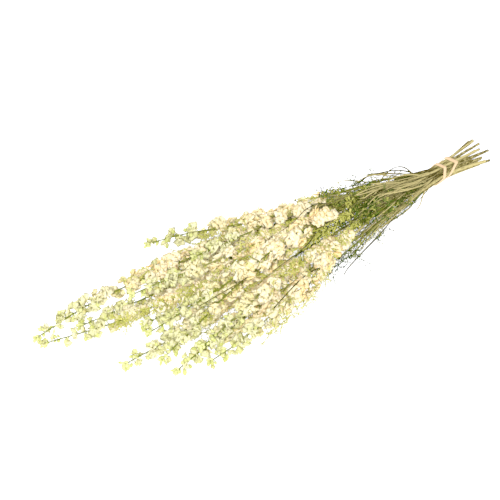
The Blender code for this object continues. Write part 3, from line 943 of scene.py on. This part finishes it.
# A double floret: broad petals laid back and round, narrow ones within, a heart and a spur
def addFloret(stalk, foot, along, centre, facing, size, age, rng):
    tone = rng.uniform(-0.55, 0.5)
    u, v = crossAxes(facing, rng.uniform(0, 2 * math.pi))
    closing = floretShape["closing"] * age
    back = centre - facing * size * 0.22
    for count, low, high, first, form in floretShape["youngRings" if age > 0.7 else "rings"]:
        turn = rng.uniform(0, 2 * math.pi)
        for k in range(count):
            angle = turn + 2 * math.pi * (k + rng.uniform(-0.35, 0.35)) / count
            opening = math.radians(rng.uniform(low, high)) - closing
            radial = around(u, v, angle)
            way = around(facing, radial, opening)
            inner = facing * math.sin(opening) - radial * math.cos(opening)
            inner = inner + way.cross(inner) * rng.uniform(-0.5, 0.5)
            length = size * first * rng.uniform(0.7, 1.22)
            breadth = length * rng.uniform(0.85, 1.25)
            petal = form + str(rng.randrange(petalShape["variants"]))
            setShape(stalk, petal, back + radial * size * 0.06, way, inner, (length, breadth, length), False,
                     age, tone + rng.uniform(-0.25, 0.25))
    setShape(stalk, "heart", back, facing, u, (size * floretShape["heartSize"],) * 3, True, 0.2,
             rng.uniform(-0.5, 0.1))
    spurWay = -facing * 0.7 + along * 0.2 + Vector((0, 0, 0.5))
    setShape(stalk, "spur", back + facing * size * 0.1, spurWay, along, (size * floretShape["spurSize"],) * 3,
             False, min(1.0, age + 0.35), tone)
    addPedicel(stalk, foot, along, back, facing, min(1.0, 0.5 + age * 0.5), rng.uniform(-0.4, 0.4))


# Threadlike bracts at the foot of a pedicel
def addBracts(stalk, foot, along, out, rng, count=2, length=9.0, age=0.5):
    side = along.cross(out)
    for k in range(count):
        way = out * rng.uniform(0.5, 0.9) + along * rng.uniform(0.5, 0.9) + side * rng.uniform(-0.5, 0.5)
        size = length * rng.uniform(0.7, 1.25)
        setShape(stalk, f"needle{rng.randrange(3)}", foot, way, out, (size, 1.3, 1.3), True,
                 age, rng.uniform(-0.5, 0.5))


# Florets stand in groups where the solid has one, and singly close to the stem
def growFlorets(stalk):
    rng = stalk.fineRng
    shape = floretShape
    for foot, along, centre, facing, u, v, size, share in stalk.florets:
        age = clamp((share - shape["groupGreens"]) * shape["ageRate"])
        turn = rng.uniform(0, 2 * math.pi)
        cluster = shape["cluster"] if share > shape["thin"] else shape["cluster"] - 1
        for k in range(cluster):
            angle = turn + 2 * math.pi * (k + rng.uniform(-0.2, 0.2)) / cluster
            flat = around(u, v, angle)
            if flat.dot(openSide) > 0.6 and rng.random() < shape["bare"] * 0.6:
                continue
            radius = size * shape["size"] * rng.uniform(0.85, 1.15)
            place = centre + flat * size * shape["offset"] + facing * size * rng.uniform(-0.2, 0.25)
            look = (facing + flat * 0.7 + shake(rng, 0.35)).normalized()
            for _ in range(4):
                if stalk.tightest([place + flat * radius * 0.7, place + look * radius * 0.5]) > 0.9:
                    break
                radius *= 0.95
                place = foot.lerp(place, 0.94)
            radius = max(radius, shape["least"])
            start = foot + along * (place - foot).dot(along) * 0.55
            start, way = stalk.at(start.x, stalk.smooth)
            addFloret(stalk, start, way, place, look, radius, age, rng)
            addBracts(stalk, start, way, (place - start).normalized(), rng)
    zone = -stalk.tip.x * stalk.flowerShare
    floretZone = zone * spike["floretZone"]
    count = round(floretZone / shape["fillStep"])
    azimuth = rng.uniform(0, 2 * math.pi)
    for k in range(count):
        share = (k + rng.uniform(0.2, 0.8)) / count
        age = clamp((share - shape["fillGreens"]) * shape["ageRate"])
        foot, along = stalk.at(stalk.tip.x + zone - floretZone * share + 6.0 * (1 - share), stalk.smooth)
        azimuth += spike["goldenAngle"] + rng.uniform(-0.4, 0.4)
        radius = rng.uniform(*shape["fillRadius"]) * (1 - 0.25 * share)
        out, _ = stalk.openWay(foot, along, azimuth, shape["fillLook"])
        if (out.dot(openSide) > 0.4 or share < shape["thin"]) and rng.random() < shape["bare"]:
            continue
        room = stalk.room(foot + out * 20)[1] * 20 - radius * 0.5
        reach = min(room, rng.uniform(*shape["fillReach"]) * (1 - 0.35 * share))
        reach = max(reach, shape["least"])
        place = foot + (out * 0.85 + along * 0.5) * reach
        look = (out + shake(rng, 0.5)).normalized()
        addFloret(stalk, foot, along, place, look, radius, age, rng)
        addBracts(stalk, foot, along, out, rng, *shape["fillBracts"])


budShape = {
    "group": 5,
    "apart": 1.9,  # radians from one bud of a group to the next
    "reach": (3.5, 6.5),
    "youngUpTo": 0.62,  # below this share of the tip most of a group are young florets
    "youngSize": (7.0, 9.4),
    "youngAge": 0.85,
    "size": (7.0, 9.8),
    "spurSize": 0.6,
    "bracts": (2, 5.5, 0.8),  # how many, how long, their age
    "tipCount": 7,
    "tipApart": 1.7,
    "tipSize": (5.0, 7.0),
}


# Young florets and buds up to the tip, in small groups
def growBuds(stalk):
    rng = stalk.fineRng
    shape = budShape
    for foot, along, out, scale, share in stalk.buds:
        foot, along = stalk.at(foot.x, stalk.smooth)
        side = along.cross(out)
        group = rng.uniform(0.8, 1.25)
        for k in range(shape["group"]):
            turn = k * shape["apart"] + rng.uniform(-0.4, 0.4)
            spread = around(out, side, turn)
            way = (out * 0.7 + spread * 0.75 + along * 0.5).normalized()
            start = foot + along * rng.uniform(-3, 3)
            end = start + way * rng.uniform(*shape["reach"]) * scale * group
            tone = rng.uniform(-0.5, 0.5)
            if k < 3 and share < shape["youngUpTo"] or k < 1:
                size = rng.uniform(*shape["youngSize"]) * scale * group
                addFloret(stalk, start, along, end + way * 2, way, size, shape["youngAge"], rng)
                continue
            size = rng.uniform(*shape["size"]) * scale * group
            form = f"bud{rng.randrange(2)}"
            setShape(stalk, form, end - way * 0.5, way, along, (size,) * 3, True, 1.0, tone)
            spurWay = way * -0.3 + along * -0.4 + Vector((0, 0, 0.4))
            spurSize = (size * shape["spurSize"],) * 3
            setShape(stalk, "spur", end + way * 0.8, spurWay, along, spurSize, True, 1.0, tone)
            addPedicel(stalk, start, along, end, way, 0.9, rng.uniform(-0.3, 0.3))
        addBracts(stalk, foot, along, out, rng, *shape["bracts"])
    end, along = stalk.smooth[-1], (stalk.smooth[-1] - stalk.smooth[-2]).normalized()
    u, v = crossAxes(along, 0.0)
    for k in range(shape["tipCount"]):
        turn = k * shape["tipApart"]
        way = along * 0.8 + u * math.cos(turn) * 0.7 + v * math.sin(turn) * 0.7
        size = (rng.uniform(*shape["tipSize"]),) * 3
        setShape(stalk, f"bud{k % 2}", end - along * (1 + k), way, u, size, True, 1.0, rng.uniform(-0.3, 0.5))


leafShape = {
    "lobes": 5,
    "threadWidth": 1.5,
    "curl": 0.45,
    "highest": 80.0,
    "nearX": -44.0,  # where the leaves begin, from the band
    "step": 8.8,
    "outside": 0.05,  # share of the leaves on the outside of the bunch that aren't rubbed off
    "outsideSize": 0.5,
    "flowerShare": 0.68,  # how far up among the flowers the leaves go on
    "spin": 0.6,
    "amongFlowers": (0.45, (0.75, 0.66), (0.1, 0.99)),  # age, way of the leaf stalk, way of the blade
    "outsideWay": (0.15, 0.99),
    "insideWay": (0.45, 0.9),
}


# The blade of a leaf cut to threads: five ways from the palm, each forking twice
def addBlade(stalk, palm, bladeWay, face, radius, tone, rng, age=0.0):
    across = bladeWay.cross(face)

    def grow(spot, heading, length, width, depth, sway):
        turned = around(bladeWay, across, heading)
        way = (turned + face * sway).normalized()
        setShape(stalk, f"needle{rng.randrange(3)}", spot, way, face, (length * 1.12, width, width), True,
                 age + 0.1 * depth, tone + rng.uniform(-0.25, 0.25))
        if depth < 2:
            for turn in (-0.42, 0.0, 0.42):
                grow(spot + way * length * 0.82, heading + turn + rng.uniform(-0.15, 0.15),
                     length * (0.62 if turn else 0.8) * rng.uniform(0.8, 1.15), width * 0.86, depth + 1,
                     sway + rng.uniform(-0.35, 0.35))

    for k in range(leafShape["lobes"]):
        angle = (k / (leafShape["lobes"] - 1) - 0.5) * spike["leafSpread"]
        reach = 0.72 + 0.28 * math.cos(angle)
        grow(palm, angle + rng.uniform(-0.12, 0.12), radius * reach * 0.46, leafShape["threadWidth"], 0,
             rng.uniform(-leafShape["curl"], leafShape["curl"]))


# A leaf where the solid has one, or one that lies along the bunch
def addLeaf(stalk, foot, along, out, size, spin, rng, age=0.0, lean=(0.86, 0.5), point=(0.35, 0.94)):
    stalkWay = (out * lean[0] + along * lean[1]).normalized()
    bladeWay = (out * point[0] + along * point[1]).normalized()
    up = squareTo(out, bladeWay)
    face = around(up, bladeWay.cross(up), spin).normalized()
    across = bladeWay.cross(face)
    for _ in range(5):
        palm = foot + stalkWay * spike["leafStalk"] * size
        edge = []
        for k in range(0, 9, 2):
            angle = (k / 8 - 0.5) * spike["leafSpread"]
            flat = around(bladeWay, across, angle)
            reach = 0.72 + 0.28 * math.cos(angle)
            edge.append(palm + (flat * reach - face * 0.16 * reach * reach) * spike["leafRadius"] * size)
        if stalk.tightest(edge) > 0.85:
            break
        size *= 0.92
    if max(p.z for p in edge) > leafShape["highest"]:
        return
    tone = rng.uniform(-0.4, 0.4)
    root, way = stalk.at(foot.x, stalk.smooth)
    addPedicel(stalk, root, way, palm, stalkWay, 0.6, tone)
    addBlade(stalk, palm, bladeWay, face, spike["leafRadius"] * size, tone, rng, age)


# Middle of the bunch at a given x
def bunchMiddle(x):
    spots = [stalk.at(x, stalk.smooth)[0] for stalk in stalks if stalk.tip.x < x]
    return sum(spots, Vector()) / max(1, len(spots))


# The leaves that the solids leave out, from near the band up to among the flowers
def growFoliage(stalk):
    rng = stalk.fineRng
    shape = leafShape
    spin = shape["spin"]
    last = stalk.tip.x + 3
    if stalk.flowerShare:
        last = stalk.tip.x * (1 - stalk.flowerShare * (1 - shape["flowerShare"]))
    x = shape["nearX"] - rng.uniform(0, shape["step"])
    azimuth = rng.uniform(0, 2 * math.pi)
    while x > last:
        foot, along = stalk.at(x, stalk.smooth)
        azimuth += spike["goldenAngle"]
        reach = spike["leafStalk"] * 1.6
        out, _ = stalk.openWay(foot, along, azimuth, reach)
        free = min(1.0, stalk.room(foot + out * reach)[1])
        near = min(1.0, (shape["nearX"] - x) / 90)
        size = rng.uniform(0.75, 1.05) * (0.5 + 0.5 * near) * (0.85 + 0.25 * free)
        outside = (foot - bunchMiddle(x)).normalized().dot(out) > 0.1 and free > 0.9
        bloom = clamp((x / stalk.tip.x - 0.2) * 3) if stalk.flowerShare else 0.0
        if bloom > 0.5:
            if out.dot(openSide) > 0.8:
                size *= 0.8
            if not (outside and (out.z > 0.3 or out.y > 0.2)):
                addLeaf(stalk, foot, along, out, size, rng.uniform(-spin, spin), rng,
                        *shape["amongFlowers"])
            x -= shape["step"] * rng.uniform(0.35, 0.65)
            continue
        if not outside or rng.random() < shape["outside"]:
            if outside:
                size *= shape["outsideSize"]
            lean = shape["outsideWay"] if outside else shape["insideWay"]
            addLeaf(stalk, foot, along, out, size, rng.uniform(-spin, spin), rng, 0.3 * bloom,
                    lean, (0.0, 1.0))
        x -= shape["step"] * rng.uniform(0.6, 1.1)


# The small leaf at the end of a leaf stalk
def addEndBlade(stalk, points, out, radius, age=0.0):
    rng = stalk.fineRng
    way = (points[-1] - points[-2]).normalized()
    addBlade(stalk, points[-1], way, squareTo(out, way), radius, rng.uniform(-0.4, 0.4), rng, age)


petioleShape = {
    "count": 7,
    "nearX": -20.0,
    "farX": -130.0,
    "length": (70.0, 150.0),
    "radius": 0.75,
    "spread": (4.0, 13.0),
    "age": (0.0, 0.5),
    "tone": (-0.5, 0.8),
    "blade": (13.0, 18.0),
    "outsideSize": 0.5,
}


# Leaf stalks that run along the stem, a little way off it, with a small leaf at the end
def growPetioles(stalk):
    rng = stalk.fineRng
    shape = petioleShape
    for _ in range(shape["count"]):
        first = rng.uniform(shape["nearX"], max(shape["farX"], stalk.tip.x * 0.6))
        length = min(rng.uniform(*shape["length"]), (first - stalk.tip.x) * 0.9)
        angle = rng.uniform(0, 2 * math.pi)
        twist = rng.uniform(-1.4, 1.4)
        spread = rng.uniform(*shape["spread"])
        foot, along = stalk.at(first - length * 0.6, stalk.smooth)
        side = along.cross(Vector((0, 0, 1))).normalized()
        out = around(side, side.cross(along), angle + twist * 0.6)
        if stalk.room(foot + out * spread)[1] > 1.5:
            spread *= 0.45
        points = []
        for k in range(11):
            share = k / 10
            foot, along = stalk.at(first - length * share, stalk.smooth)
            side = along.cross(Vector((0, 0, 1))).normalized()
            out = around(side, side.cross(along), angle + twist * share)
            reach = 1.0 + spread * share ** 0.8
            points.append(foot + out * reach * min(1.0, stalk.room(foot + out * reach)[1]))
        thread(stalk, points, shape["radius"], shape["radius"] * 0.6, rng.uniform(*shape["age"]),
               rng.uniform(*shape["tone"]))
        inside = stalk.room(foot + out * 25)[1] < 1
        radius = rng.uniform(*shape["blade"]) * (1.0 if inside else shape["outsideSize"])
        addEndBlade(stalk, points, out, radius, 0.2)


wispShape = {
    "frontCount": 8,  # most long leaf stalks have sprung out on the open side
    "count": 1,
    "nearX": -24.0,
    "farX": -95.0,
    "length": (70.0, 140.0),
    "radius": 0.95,
    "rise": 0.17,
    "highest": 64.0,
    "age": (0.0, 0.2),
    "tone": (-0.1, 0.9),
    "blade": (7.0, 10.0),
}


# Long bare leaf stalks that stray from the stem, arch and droop back, with a small leaf
def growWisps(stalk):
    rng = stalk.fineRng
    shape = wispShape
    far = max(stalk.tip.x * 0.6, shape["farX"])
    front = openSide
    foot = stalk.at(-80.0, stalk.smooth)[0]
    isFront = stalk.room(foot + front * 25)[1] > 0.8
    for _ in range(shape["frontCount"] if isFront else shape["count"]):
        foot, along = stalk.at(rng.uniform(shape["nearX"], far), stalk.smooth)
        length = rng.uniform(*shape["length"])
        side = along.cross(front).normalized()
        wish = (front + side * rng.uniform(-0.8, 0.8)).normalized()
        out = wish if isFront else stalk.openWay(foot, along, rng.uniform(0, 2 * math.pi), length * 0.2)[0]
        rise = length * shape["rise"] * rng.uniform(0.5, 1.3)
        drift = side * length * rng.uniform(-0.16, 0.16)
        while True:
            handles = (
                foot,
                foot + along * length * 0.35 + out * rise * 0.5,
                foot + along * length * 0.70 + out * rise * 2.0 + drift * 0.2,
                foot + along * length * 0.98 + out * rise * 0.7 + drift,
            )
            if max(p.z for p in handles) < shape["highest"] or rise < 1:
                break
            rise *= 0.8
        points = bezierLine(handles, 12)
        thread(stalk, points, shape["radius"], shape["radius"] * 0.55, rng.uniform(*shape["age"]),
               rng.uniform(*shape["tone"]))
        addEndBlade(stalk, points, out, rng.uniform(*shape["blade"]))


# Stalks that stand clear of the bunch or lie over the flowers: where they leave
# their stem, how they run, tone
strayStalks = (
    (-42, (-75, 26, 46), (-140, 24, 46), (-197, 33, 50), -0.2),
    (-46, (-62, 20, 50), (-92, 24, 44), (-122, 8, 34), -0.1),
    (-90, (-140, -30, 14), (-215, -60, 10), (-268, -69, 8), -0.2),
    (-95, (-130, -20, 14), (-170, -30, 15), (-205, -38, 16), 0.0),
    (-60, (-95, -6, 30), (-135, -14, 34), (-170, -36, 22), 0.8),
    (-40, (-80, 2, 46), (-125, 2, 52), (-165, -16, 40), 0.9),
    (-70, (-160, 4, 50), (-250, -22, 84), (-366, 24, 77), -0.3),
    (-300, (-330, -62, 38), (-370, -80, 42), (-408, -90, 40), -0.4),
    (-330, (-365, -48, 58), (-420, -54, 64), (-482, -52, 60), -0.1),
    (-270, (-300, -55, 62), (-345, -64, 70), (-388, -68, 68), -0.2),
)


strayShape = {
    "thick": 1.15,
    "thin": 0.8,
    "age": 0.15,
}


def growStrays():
    for startX, first, second, last, tone in strayStalks:
        middle = Vector(first).lerp(Vector(second), 0.5)
        near = [s for s in stalks if s.tip.x < last[0]]
        stalk = min(near, key=lambda s: (s.at(middle.x, s.smooth)[0] - middle).length)
        handles = (stalk.at(startX, stalk.smooth)[0], Vector(first), Vector(second), Vector(last))
        shape = strayShape
        thread(stalk, bezierLine(handles, 14), shape["thick"], shape["thin"], shape["age"], tone)


crowding = {
    "slice": 16.0,  # millimetres of stem looked at together
    "window": 60.0,
    "knee": 0.8,  # up to this share of the room nothing moves
    "tableGap": 0.4,
}


# Squeezes drawn points into the room that the stem has, without cutting them off
def squeeze(stalk, points):
    moved = points.copy()
    low = points[:, 0].min()
    knee = crowding["knee"]
    while low <= points[:, 0].max():
        pick = np.flatnonzero((points[:, 0] >= low) & (points[:, 0] < low + crowding["slice"]))
        middle = low + crowding["slice"] / 2
        low += crowding["slice"]
        if not len(pick):
            continue
        own = stalk.own[np.abs(stalk.own[:, 0] - middle) < crowding["window"]]
        others = stalk.others[np.abs(stalk.others[:, 0] - middle) < crowding["window"]]
        if not len(own):
            own = stalk.own[-1:]
        place = points[pick]
        gaps = ((place[:, None] - own[None]) ** 2).sum(axis=2)
        foot = own[gaps.argmin(axis=1)]
        out = place - foot
        crowd = np.full(len(pick), 1e-6)  # how far out, where 1 is the half-way plane
        down = out[:, 2] < 0
        crowd[down] = -out[down, 2] / np.maximum(foot[down, 2] - crowding["tableGap"], 0.3)
        if len(others):
            span = others[None] - foot[:, None]
            length = np.sqrt((span ** 2).sum(axis=2))
            facing = (span * out[:, None]).sum(axis=2)
            half = np.maximum(length / 2 - spike["roomMargin"], 0.2)
            crowd = np.maximum(crowd, (facing / (half * length)).max(axis=1))
        tight = crowd > knee
        eased = knee + (1 - knee) * (1 - np.exp(-(crowd[tight] - knee) / (1 - knee)))
        moved[pick[tight]] = foot[tight] + out[tight] * (eased / crowd[tight])[:, None]
    return moved


mm = 0.001  # metres


def toFrame(points):
    shift = np.array((*bunch["middle"], 0.0))
    return (np.asarray(points, float).reshape(-1, 3) - shift) * mm


def meshPoints(mesh):
    spots = np.zeros(len(mesh.vertices) * 3)
    mesh.vertices.foreach_get("co", spots)
    return spots.reshape(-1, 3)


# Lines with their girth, age and tone, swept to tubes
def sweepLines(name, spots, edges, girths, ages, tones, section):
    mesh = bpy.data.meshes.new(name)
    mesh.from_pydata(spots, edges, [])
    for layer, values in (("girth", girths), ("age", ages), ("tone", tones)):
        setLayer(mesh, layer, "FLOAT", values)
    sides, ribs, ribDepth = section
    return runTree(name, mesh, stalkTree, stalkSockets,
                   {"Sides": sides, "Ribs": ribs, "Rib Depth": ribDepth, "Finish": stalkFinish})


stalkShape = {
    "section": (12, 6, 0.05),  # sides, ribs, and their depth as a share of the radius
    "threadSection": (4, 2, 0.0),
    "taper": 1.2,
    "tone": (-0.22, 0.45),
    "paintedBackShade": 0.06,  # painted shade: darker for each millimetre towards the back of the bunch, away from the light
    "bleached": 0.17,  # the cut ends have dried paler
    "cutRim": 0.35,
    "cutDepth": 0.25,
}


# The main stalk, ribbed, tapering, with its cut end sunk a little
def buildStalk(stalk):
    line = stalk.smooth
    girths, tones = [], []
    tone = stalk.fineRng.uniform(*stalkShape["tone"])
    # stems towards the back of the bunch get painted shade, darker the further back, left of the band
    paintedBackShade = min(0.0, bunch["bundleY"] - stalk.at(0.0, line)[0].y) * stalkShape["paintedBackShade"]
    for p in line:
        share = clamp(p.x / stalk.tip.x) ** stalkShape["taper"]
        girths.append(bunch["stemRadius"] + (bunch["tipRadius"] - bunch["stemRadius"]) * share)
        tones.append(tone + paintedBackShade * clamp(-p.x / 30) + stalkShape["bleached"] * clamp(p.x / 20))
    ages = [clamp(1.3 * p.x / stalk.tip.x - 0.3) for p in line]
    edges = [(k, k + 1) for k in range(len(line) - 1)]
    made = sweepLines("stalk", [tuple(p) for p in line], edges, girths, ages, tones, stalkShape["section"])
    shape = bmesh.new()
    shape.from_mesh(made)
    ends = [f for f in shape.faces if len(f.verts) > 4]
    ends.sort(key=lambda f: -f.calc_center_median().x)
    made.materials.append(pithFinish)
    cut = ends[0]
    cut.smooth = False
    ring = bmesh.ops.inset_region(shape, faces=[cut], thickness=stalkShape["cutRim"],
                                    depth=-stalkShape["cutDepth"])
    cut.material_index = 1
    for f in ring["faces"]:
        f.smooth = False
    shape.to_mesh(made)
    shape.free()
    return made


def buildThreads(stalk):
    spots, edges, girths, ages, tones = [], [], [], [], []
    for points, radii, age, tone in stalk.paths:
        start = len(spots)
        spots += [tuple(p) for p in points]
        edges += [(start + k, start + k + 1) for k in range(len(points) - 1)]
        girths += radii
        ages += [age] * len(points)
        tones += [tone] * len(points)
    return sweepLines("threads", spots, edges, girths, ages, tones, stalkShape["threadSection"])


def buildShapes(stalk):
    mesh = bpy.data.meshes.new("points")
    mesh.from_pydata([tuple(s[0]) for s in stalk.shapes], [], [])
    layers = (
        ("aim", "QUATERNION"), ("spread", "FLOAT_VECTOR"), ("form", "INT"),
        ("green", "BOOLEAN"), ("age", "FLOAT"), ("tone", "FLOAT"),
    )
    for k, (name, kind) in enumerate(layers, 1):
        setLayer(mesh, name, kind, [s[k] for s in stalk.shapes])
    return runTree("shapes", mesh, spikeTree, spikeSockets,
                   {"Forms": forms, "Size": 1.0, "Petals": sepalFinish, "Greens": greenFinish})


# One piece for each stem of the solids: its stalk and all that grows on it
def buildPlant(stalk):
    if stalk.flowerShare:
        growFlorets(stalk)
        growBuds(stalk)
    for foot, along, out, size, spin in stalk.leaves:
        addLeaf(stalk, foot, along, out, size, spin, stalk.fineRng)
    growFoliage(stalk)
    growPetioles(stalk)
    growWisps(stalk)
    parts = []
    for mesh, bent in ((buildStalk(stalk), False), (buildThreads(stalk), True), (buildShapes(stalk), True)):
        spots = meshPoints(mesh)
        if bent:
            spots = squeeze(stalk, spots)
        mesh.vertices.foreach_set("co", toFrame(spots).ravel())
        mesh.update()
        parts.append(addObject(stalk.node + "_part", mesh))
    with bpy.context.temp_override(active_object=parts[0], selected_editable_objects=parts,
                                   selected_objects=parts):
        bpy.ops.object.join()
    piece = parts[0]
    piece.name = "dried_" + stalk.node
    piece.data.name = piece.name
    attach(piece, "root")
    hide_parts(stalk.node)
    return piece


growStrays()
total = 0
for stalk in stalks:
    plant = buildPlant(stalk)
    total += sum(len(face.vertices) - 2 for face in plant.data.polygons)
print("plants grown:", len(stalks), "with", total, "triangles")


band = {
    "clearance": 0.35,
    "thickness": 1.3,
    "width": 4.4,
    "radius": 11.0,
    # place along the bunch, how far the top leans to the cut ends, and how much thinner the band is
    "turns": (
        {"place": -5.5, "lean": 8.5, "wave": 0.15, "inner": 0.0, "outer": 0.0, "narrower": 0.0},
        {"place": 7.0, "lean": 18.0, "wave": 0.2, "inner": 0.12, "outer": 0.06, "narrower": 0.5},
    ),
    "arcSteps": 7,
}


# Outline of a band stretched round the six corner stems of the bundle
def bandOutline(offset):
    counts = bunch["rowCounts"]
    corners = ((0, counts[0] - 1), (2, counts[2] - 1), (4, counts[4] - 1), (4, 0), (2, 0), (0, 0))
    centres = [tiePlace(row, place) for row, place in corners]
    outline = []
    for k, (y, z) in enumerate(centres):
        before = centres[k - 1]
        after = centres[(k + 1) % len(centres)]
        first = math.atan2(z - before[1], y - before[0]) - math.pi / 2
        last = math.atan2(after[1] - z, after[0] - y) - math.pi / 2
        sweep = (last - first) % (2 * math.pi)
        radius = bunch["stemRadius"] + offset
        for step in range(band["arcSteps"] + 1):
            angle = first + sweep * step / band["arcSteps"]
            outline.append((y + radius * math.cos(angle), z + radius * math.sin(angle)))
    return outline


# One turn of the band, with its edges rounded
def bandTurn(shape, turn):
    inner = band["clearance"] + turn["inner"]
    outer = band["clearance"] + band["thickness"] - turn["outer"]
    width = band["width"] - turn["narrower"]
    middle = (inner + outer) / 2
    half = (outer - inner) / 2
    rings = []
    for across, depth in (
        (-1, 0), (-0.93, 0.7), (-0.8, 1), (0, 1.06), (0.8, 1), (0.93, 0.7),
        (1, 0), (0.93, -0.7), (0.8, -1), (0, -0.94), (-0.8, -1), (-0.93, -0.7),
    ):
        ring = []
        for k, (y, z) in enumerate(bandOutline(middle + depth * half)):
            sway = turn["wave"] * math.sin(k * 0.37)
            lean = turn["lean"] * (z - bunch["bundleZ"]) / band["radius"]
            x = turn["place"] + lean + sway + across * width / 2
            ring.append(shape.verts.new(toFrame((x, *splay(x, y, z)))[0]))
        rings.append(ring)
    count = len(rings[0])
    for a, b in zip(rings, rings[1:] + rings[:1]):
        for k in range(count):
            after = (k + 1) % count
            shape.faces.new((a[k], a[after], b[after], b[k]))


shape = bmesh.new()
for turn in band["turns"]:
    bandTurn(shape, turn)
bmesh.ops.recalc_face_normals(shape, faces=shape.faces)
mesh = bpy.data.meshes.new("crepe_rubber_band")
shape.to_mesh(mesh)
shape.free()
mesh.shade_smooth()
mesh.materials.append(rubberFinish)
piece = addObject("crepe_rubber_band", mesh)
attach(piece, "root")
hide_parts("rubber_band")
print("band wound")


studio = {
    "floor": "#FFFFFF",
    "floorGlow": 1.0,  # lit from below, as a light table
    "floorReach": 6.0,
    "floorDrop": 0.0005,  # half a millimetre under the bunch
    "sky": 1.0,
    "softbox": 101.0,  # just above the camera, so that little shade shows
    "softboxSize": 0.5,
    "softboxPlace": (-1.31, -1.26, 1.32),
    "gamma": 1.75,  # the soft curve of a high-key photo
}
cameraSet = {
    "lens": 100.0,
    "azimuth": -45.0,
    "elevation": 32.0,
    "distance": 1.62,
    "target": (-0.0673, 0.0257, 0.03),
}


def makeFloor():
    shape = bmesh.new()
    bmesh.ops.create_grid(shape, x_segments=1, y_segments=1, size=studio["floorReach"])
    mesh = bpy.data.meshes.new("white_table")
    shape.to_mesh(mesh)
    shape.free()
    mesh.transform(Matrix.Translation((0, 0, -studio["floorDrop"])))
    floor = addObject("white_table", mesh)
    finish, tree, shader = newFinish("white_acrylic_light_table")
    shader.inputs["Base Color"].default_value = linear(studio["floor"])
    shader.inputs["Roughness"].default_value = 0.9
    shader.inputs["Specular IOR Level"].default_value = 0.0
    shader.inputs["Emission Color"].default_value = (1, 1, 1, 1)
    shader.inputs["Emission Strength"].default_value = studio["floorGlow"]
    mesh.materials.append(finish)


def addLamp(name, place, target, size, power):
    data = bpy.data.lights.new(name, "AREA")
    data.shape = "SQUARE"
    data.size = size
    data.energy = power
    lamp = addObject(name, data)
    lamp.location = place
    lamp.rotation_euler = (Vector(target) - Vector(place)).to_track_quat("-Z", "Y").to_euler()


def makeCamera():
    a = math.radians(cameraSet["azimuth"])
    e = math.radians(cameraSet["elevation"])
    back = Vector((math.sin(a) * math.cos(e), -math.cos(a) * math.cos(e), math.sin(e)))
    data = bpy.data.cameras.new("camera")
    data.lens = cameraSet["lens"]
    data.sensor_width = 36.0
    data.clip_end = 50.0
    view = addObject("camera", data)
    view.location = Vector(cameraSet["target"]) + back * cameraSet["distance"]
    view.rotation_euler = (-back).to_track_quat("-Z", "Y").to_euler()
    bpy.context.scene.camera = view


makeFloor()
addLamp("front_softbox", studio["softboxPlace"], (0, 0, 0), studio["softboxSize"], studio["softbox"])
world = bpy.data.worlds.new("white_studio")
world.use_nodes = True
backdrop = world.node_tree.nodes["Background"]
backdrop.inputs["Color"].default_value = (1, 1, 1, 1)
backdrop.inputs["Strength"].default_value = studio["sky"]
bpy.context.scene.world = world
bpy.context.scene.view_settings.view_transform = "Standard"
bpy.context.scene.view_settings.gamma = studio["gamma"]
makeCamera()
print("studio set")
